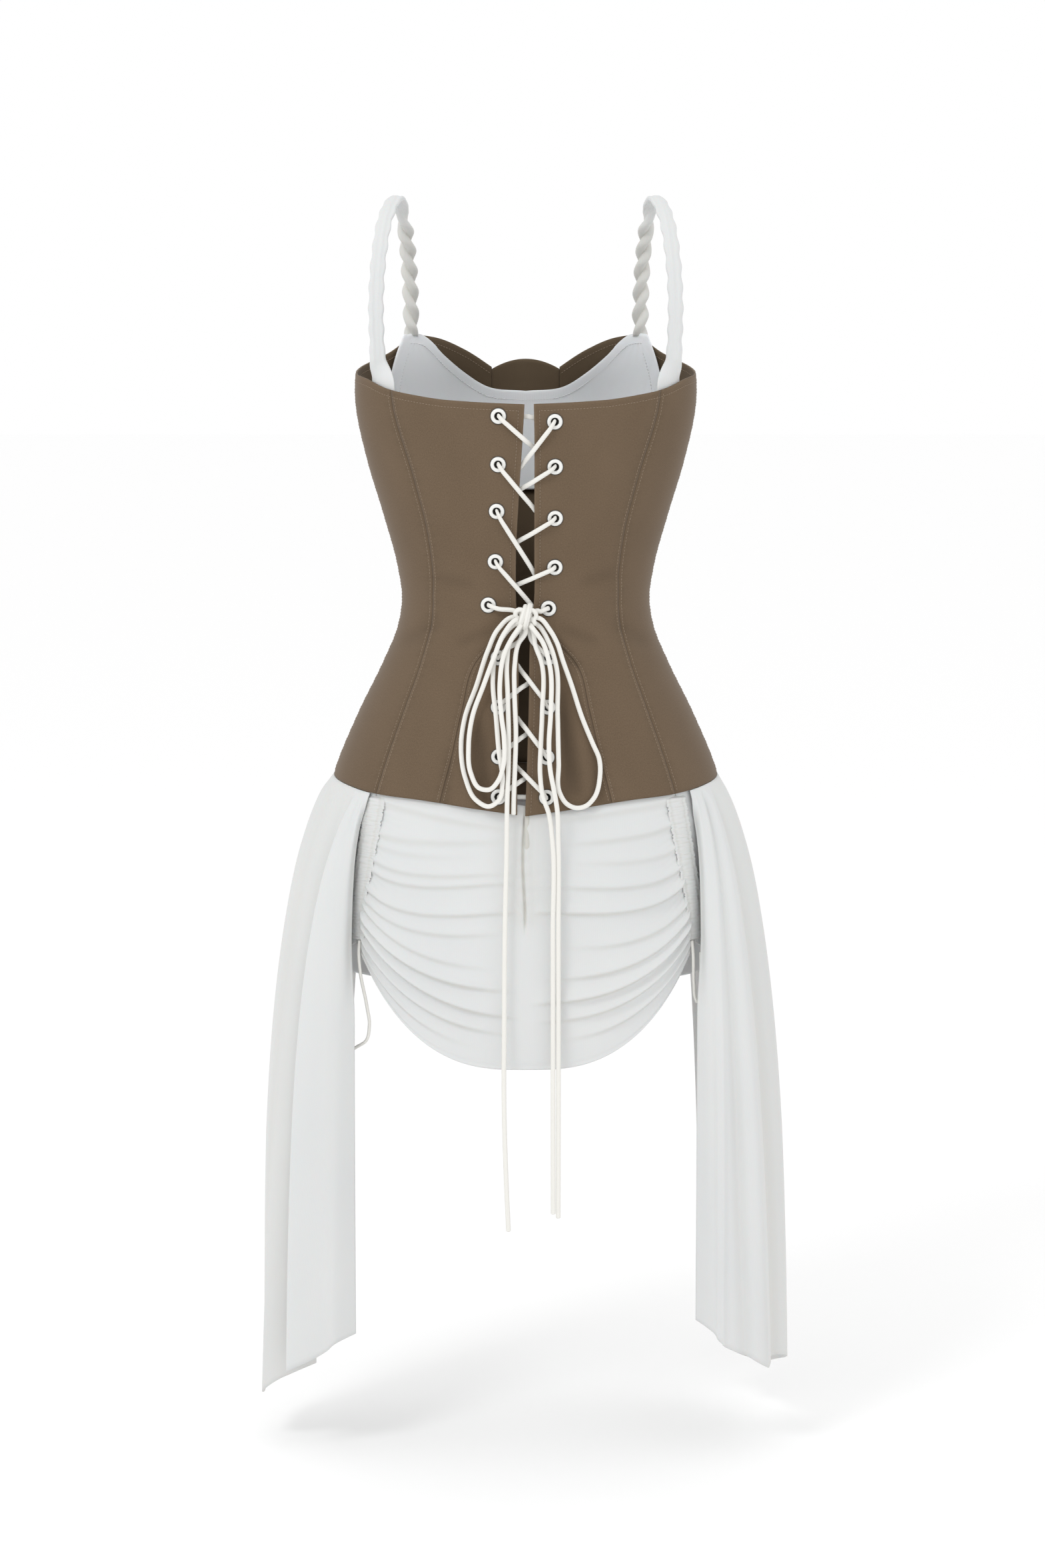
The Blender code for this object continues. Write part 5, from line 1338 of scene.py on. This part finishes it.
# Side drapes: share across, degrees at the corset hem, x, y and height at the drape's hem, settling
drapeTables = {
    "left": np.array([
        (0.00, 61.5, 0.158, -0.088, -1.052, 8.0), (0.17, 64.0, 0.188, -0.103, -1.066, 5.0),
        (0.33, 66.5, 0.219, -0.100, -1.084, 4.0), (0.45, 69.0, 0.199, -0.078, -1.083, 4.0),
        (0.57, 75.0, 0.228, -0.064, -1.100, 3.3), (0.69, 84.0, 0.249, -0.040, -1.120, 3.3),
        (0.80, 96.0, 0.246, 0.000, -1.105, 3.3), (0.90, 108.0, 0.218, 0.042, -1.075, 3.3),
        (1.00, 121.0, 0.175, 0.080, -1.045, 3.3)]),
    "right": np.array([
        (0.00, 65.0, 0.158, -0.088, -1.039, 8.0), (0.15, 68.0, 0.180, -0.100, -1.056, 5.0),
        (0.30, 72.0, 0.205, -0.096, -1.072, 4.0), (0.42, 77.0, 0.226, -0.080, -1.086, 3.3),
        (0.52, 85.0, 0.242, -0.052, -1.083, 3.3), (0.64, 95.0, 0.240, -0.010, -1.095, 3.3),
        (0.78, 105.0, 0.222, 0.035, -1.112, 3.3), (0.90, 113.0, 0.195, 0.064, -1.103, 3.3),
        (1.00, 121.0, 0.170, 0.085, -1.085, 3.3)]),
}
drapeForm = {"wall": 0.0014, "wave": 0.004, "columns": 170, "rows": 110}
# Soft vertical folds: share at the top, share at the hem, width, depth at the hem, depth at the top
drapeFolds = {
    "left": ((0.12, 0.14, 0.050, -0.0007, -0.0004), (0.24, 0.25, 0.060, 0.0008, 0.0008), (0.36, 0.39, 0.030, -0.0022, -0.0016),
             (0.52, 0.58, 0.050, 0.0016, 0.0010), (0.62, 0.70, 0.040, -0.0020, -0.0010), (0.74, 0.80, 0.036, 0.0028, 0.0012),
             (0.84, 0.88, 0.030, -0.0028, -0.0010), (0.93, 0.95, 0.026, 0.0022, 0.0010)),
    "right": ((0.09, 0.10, 0.034, -0.0010, 0.0004), (0.16, 0.19, 0.030, 0.0016, 0.0008), (0.22, 0.29, 0.026, -0.0026, -0.0016),
              (0.29, 0.38, 0.034, 0.0020, 0.0012), (0.38, 0.50, 0.032, -0.0030, -0.0014), (0.48, 0.60, 0.040, 0.0022, 0.0010),
              (0.60, 0.70, 0.034, -0.0028, -0.0010), (0.72, 0.80, 0.032, 0.0028, 0.0010), (0.82, 0.88, 0.030, -0.0026, -0.0010),
              (0.92, 0.95, 0.026, 0.0022, 0.0008)),
}


def drapeGrid(table, side, share, down):
    # Each column leaves the hip and settles toward its place at the hem: 1 - exp(-settling * down).
    angle = np.radians(curveAt(table, 1, share))
    hem = [curveAt(table, index, share) for index in (2, 3, 4)]
    settle = curveAt(table, 5, share)
    top = hemHeight(angle) - 0.0006
    height = top + (hem[2] - top) * down
    pull = (1 - np.exp(-settle * down)) / (1 - np.exp(-settle))
    hip = body(angle + 0 * height, np.maximum(height, -0.66), 0.0)
    wave = drapeForm["wave"] * down * np.sin(np.pi * 7 * share)
    x = hip[..., 0] + (hem[0] + wave - hip[..., 0]) * pull
    y = hip[..., 1] + (hem[1] - wave - hip[..., 1]) * pull
    return np.stack([side * x, y, height], axis=-1)


def addDrapes():
    for side, word in ((-1, "left"), (1, "right")):
        share = np.linspace(0, 1, drapeForm["columns"] + 1)[None, :]
        down = (np.linspace(0, 1, drapeForm["rows"] + 1) ** 1.15)[:, None]
        grid = drapeGrid(drapeTables[word], side, share, down)
        relief = 0 * share * down
        for top, hem, width, low, high in drapeFolds[word]:
            line = top + (hem - top) * down
            depth = 1.5 * high * np.exp(-down * 2.5) + 1.5 * low * np.minimum(down * 1.7, 1)
            relief = relief + depth * np.exp(-((share - line) / width) ** 2)
        gather = 0.0004 * np.sin(2 * np.pi * 15 * share + 2 * np.sin(11 * share)) * np.exp(-down / 0.05)
        relief = (relief + gather) * smoothStep(0.0, 0.03, down) * smoothStep(-0.02, 0.05, share) * smoothStep(-0.02, 0.05, 1 - share)
        curl = smoothStep(0.01, 0.06, down) * (1 - smoothStep(0.26, 0.42, down)) * np.exp(-(share / 0.035) ** 2)
        relief = relief - 0.0075 * curl
        # Painted shade in the hollows of the folds, and an even amount over the part beyond about 0.37 across.
        crease = np.clip(-relief / 0.006, 0, 1) * 0.3 + 0.24 * smoothStep(0.33, 0.40, share)
        grid, relief, crease = grid[::-1], relief[::-1], crease[::-1]
        if side < 0:
            grid, relief, crease = grid[:, ::-1], relief[:, ::-1], crease[:, ::-1]
        outer = grid + gridNormals(grid) * relief[..., None]
        inner = outer - gridNormals(outer) * drapeForm["wall"]
        piece = clothShell(f"drape_{word}_look", outer, inner, jersey, {"crease": crease}, None, 0.0004,
                           (f"drape_{word}",))
        declareCloth(outer)


addDrapes()
print("drapes made")

# Floor and light

stageForm = {"floor": -1.165, "size": 60.0, "world": 1.0}


def addStage():
    half = stageForm["size"] / 2
    mesh = bpy.data.meshes.new("floor")
    z = stageForm["floor"]
    mesh.from_pydata([(-half, -half, z), (half, -half, z), (half, half, z), (-half, half, z)], [], [(0, 1, 2, 3)])
    floor = bpy.data.objects.new("floor", mesh)
    bpy.context.scene.collection.objects.link(floor)
    paint = Paint("floorWhite", {"Base Color": (0.99, 0.99, 0.99, 1.0), "Roughness": 1.0})
    mesh.materials.append(paint.material)
    world = bpy.data.worlds.new("studio")
    world.use_nodes = True
    world.node_tree.nodes["Background"].inputs["Color"].default_value = (1.0, 1.0, 1.0, 1.0)
    world.node_tree.nodes["Background"].inputs["Strength"].default_value = stageForm["world"]
    bpy.context.scene.world = world
    for name, place, energy, size in (("keyLight", (-1.5, -2.2, 1.9), 22.0, 1.0), ("fillLight", (2.2, -2.4, 0.2), 3.0, 2.0)):
        data = bpy.data.lights.new(name, "AREA")
        data.energy, data.size, data.shape = energy, size, "DISK"
        light = bpy.data.objects.new(name, data)
        light.location = place
        aim = np.array((0.0, 0.0, -0.55)) - np.array(place)
        light.rotation_euler = (math.acos(-aim[2] / np.linalg.norm(aim)), 0.0, math.atan2(aim[0], -aim[1]) + math.pi)
        bpy.context.scene.collection.objects.link(light)
    bpy.context.scene.view_settings.view_transform = "Standard"


addStage()
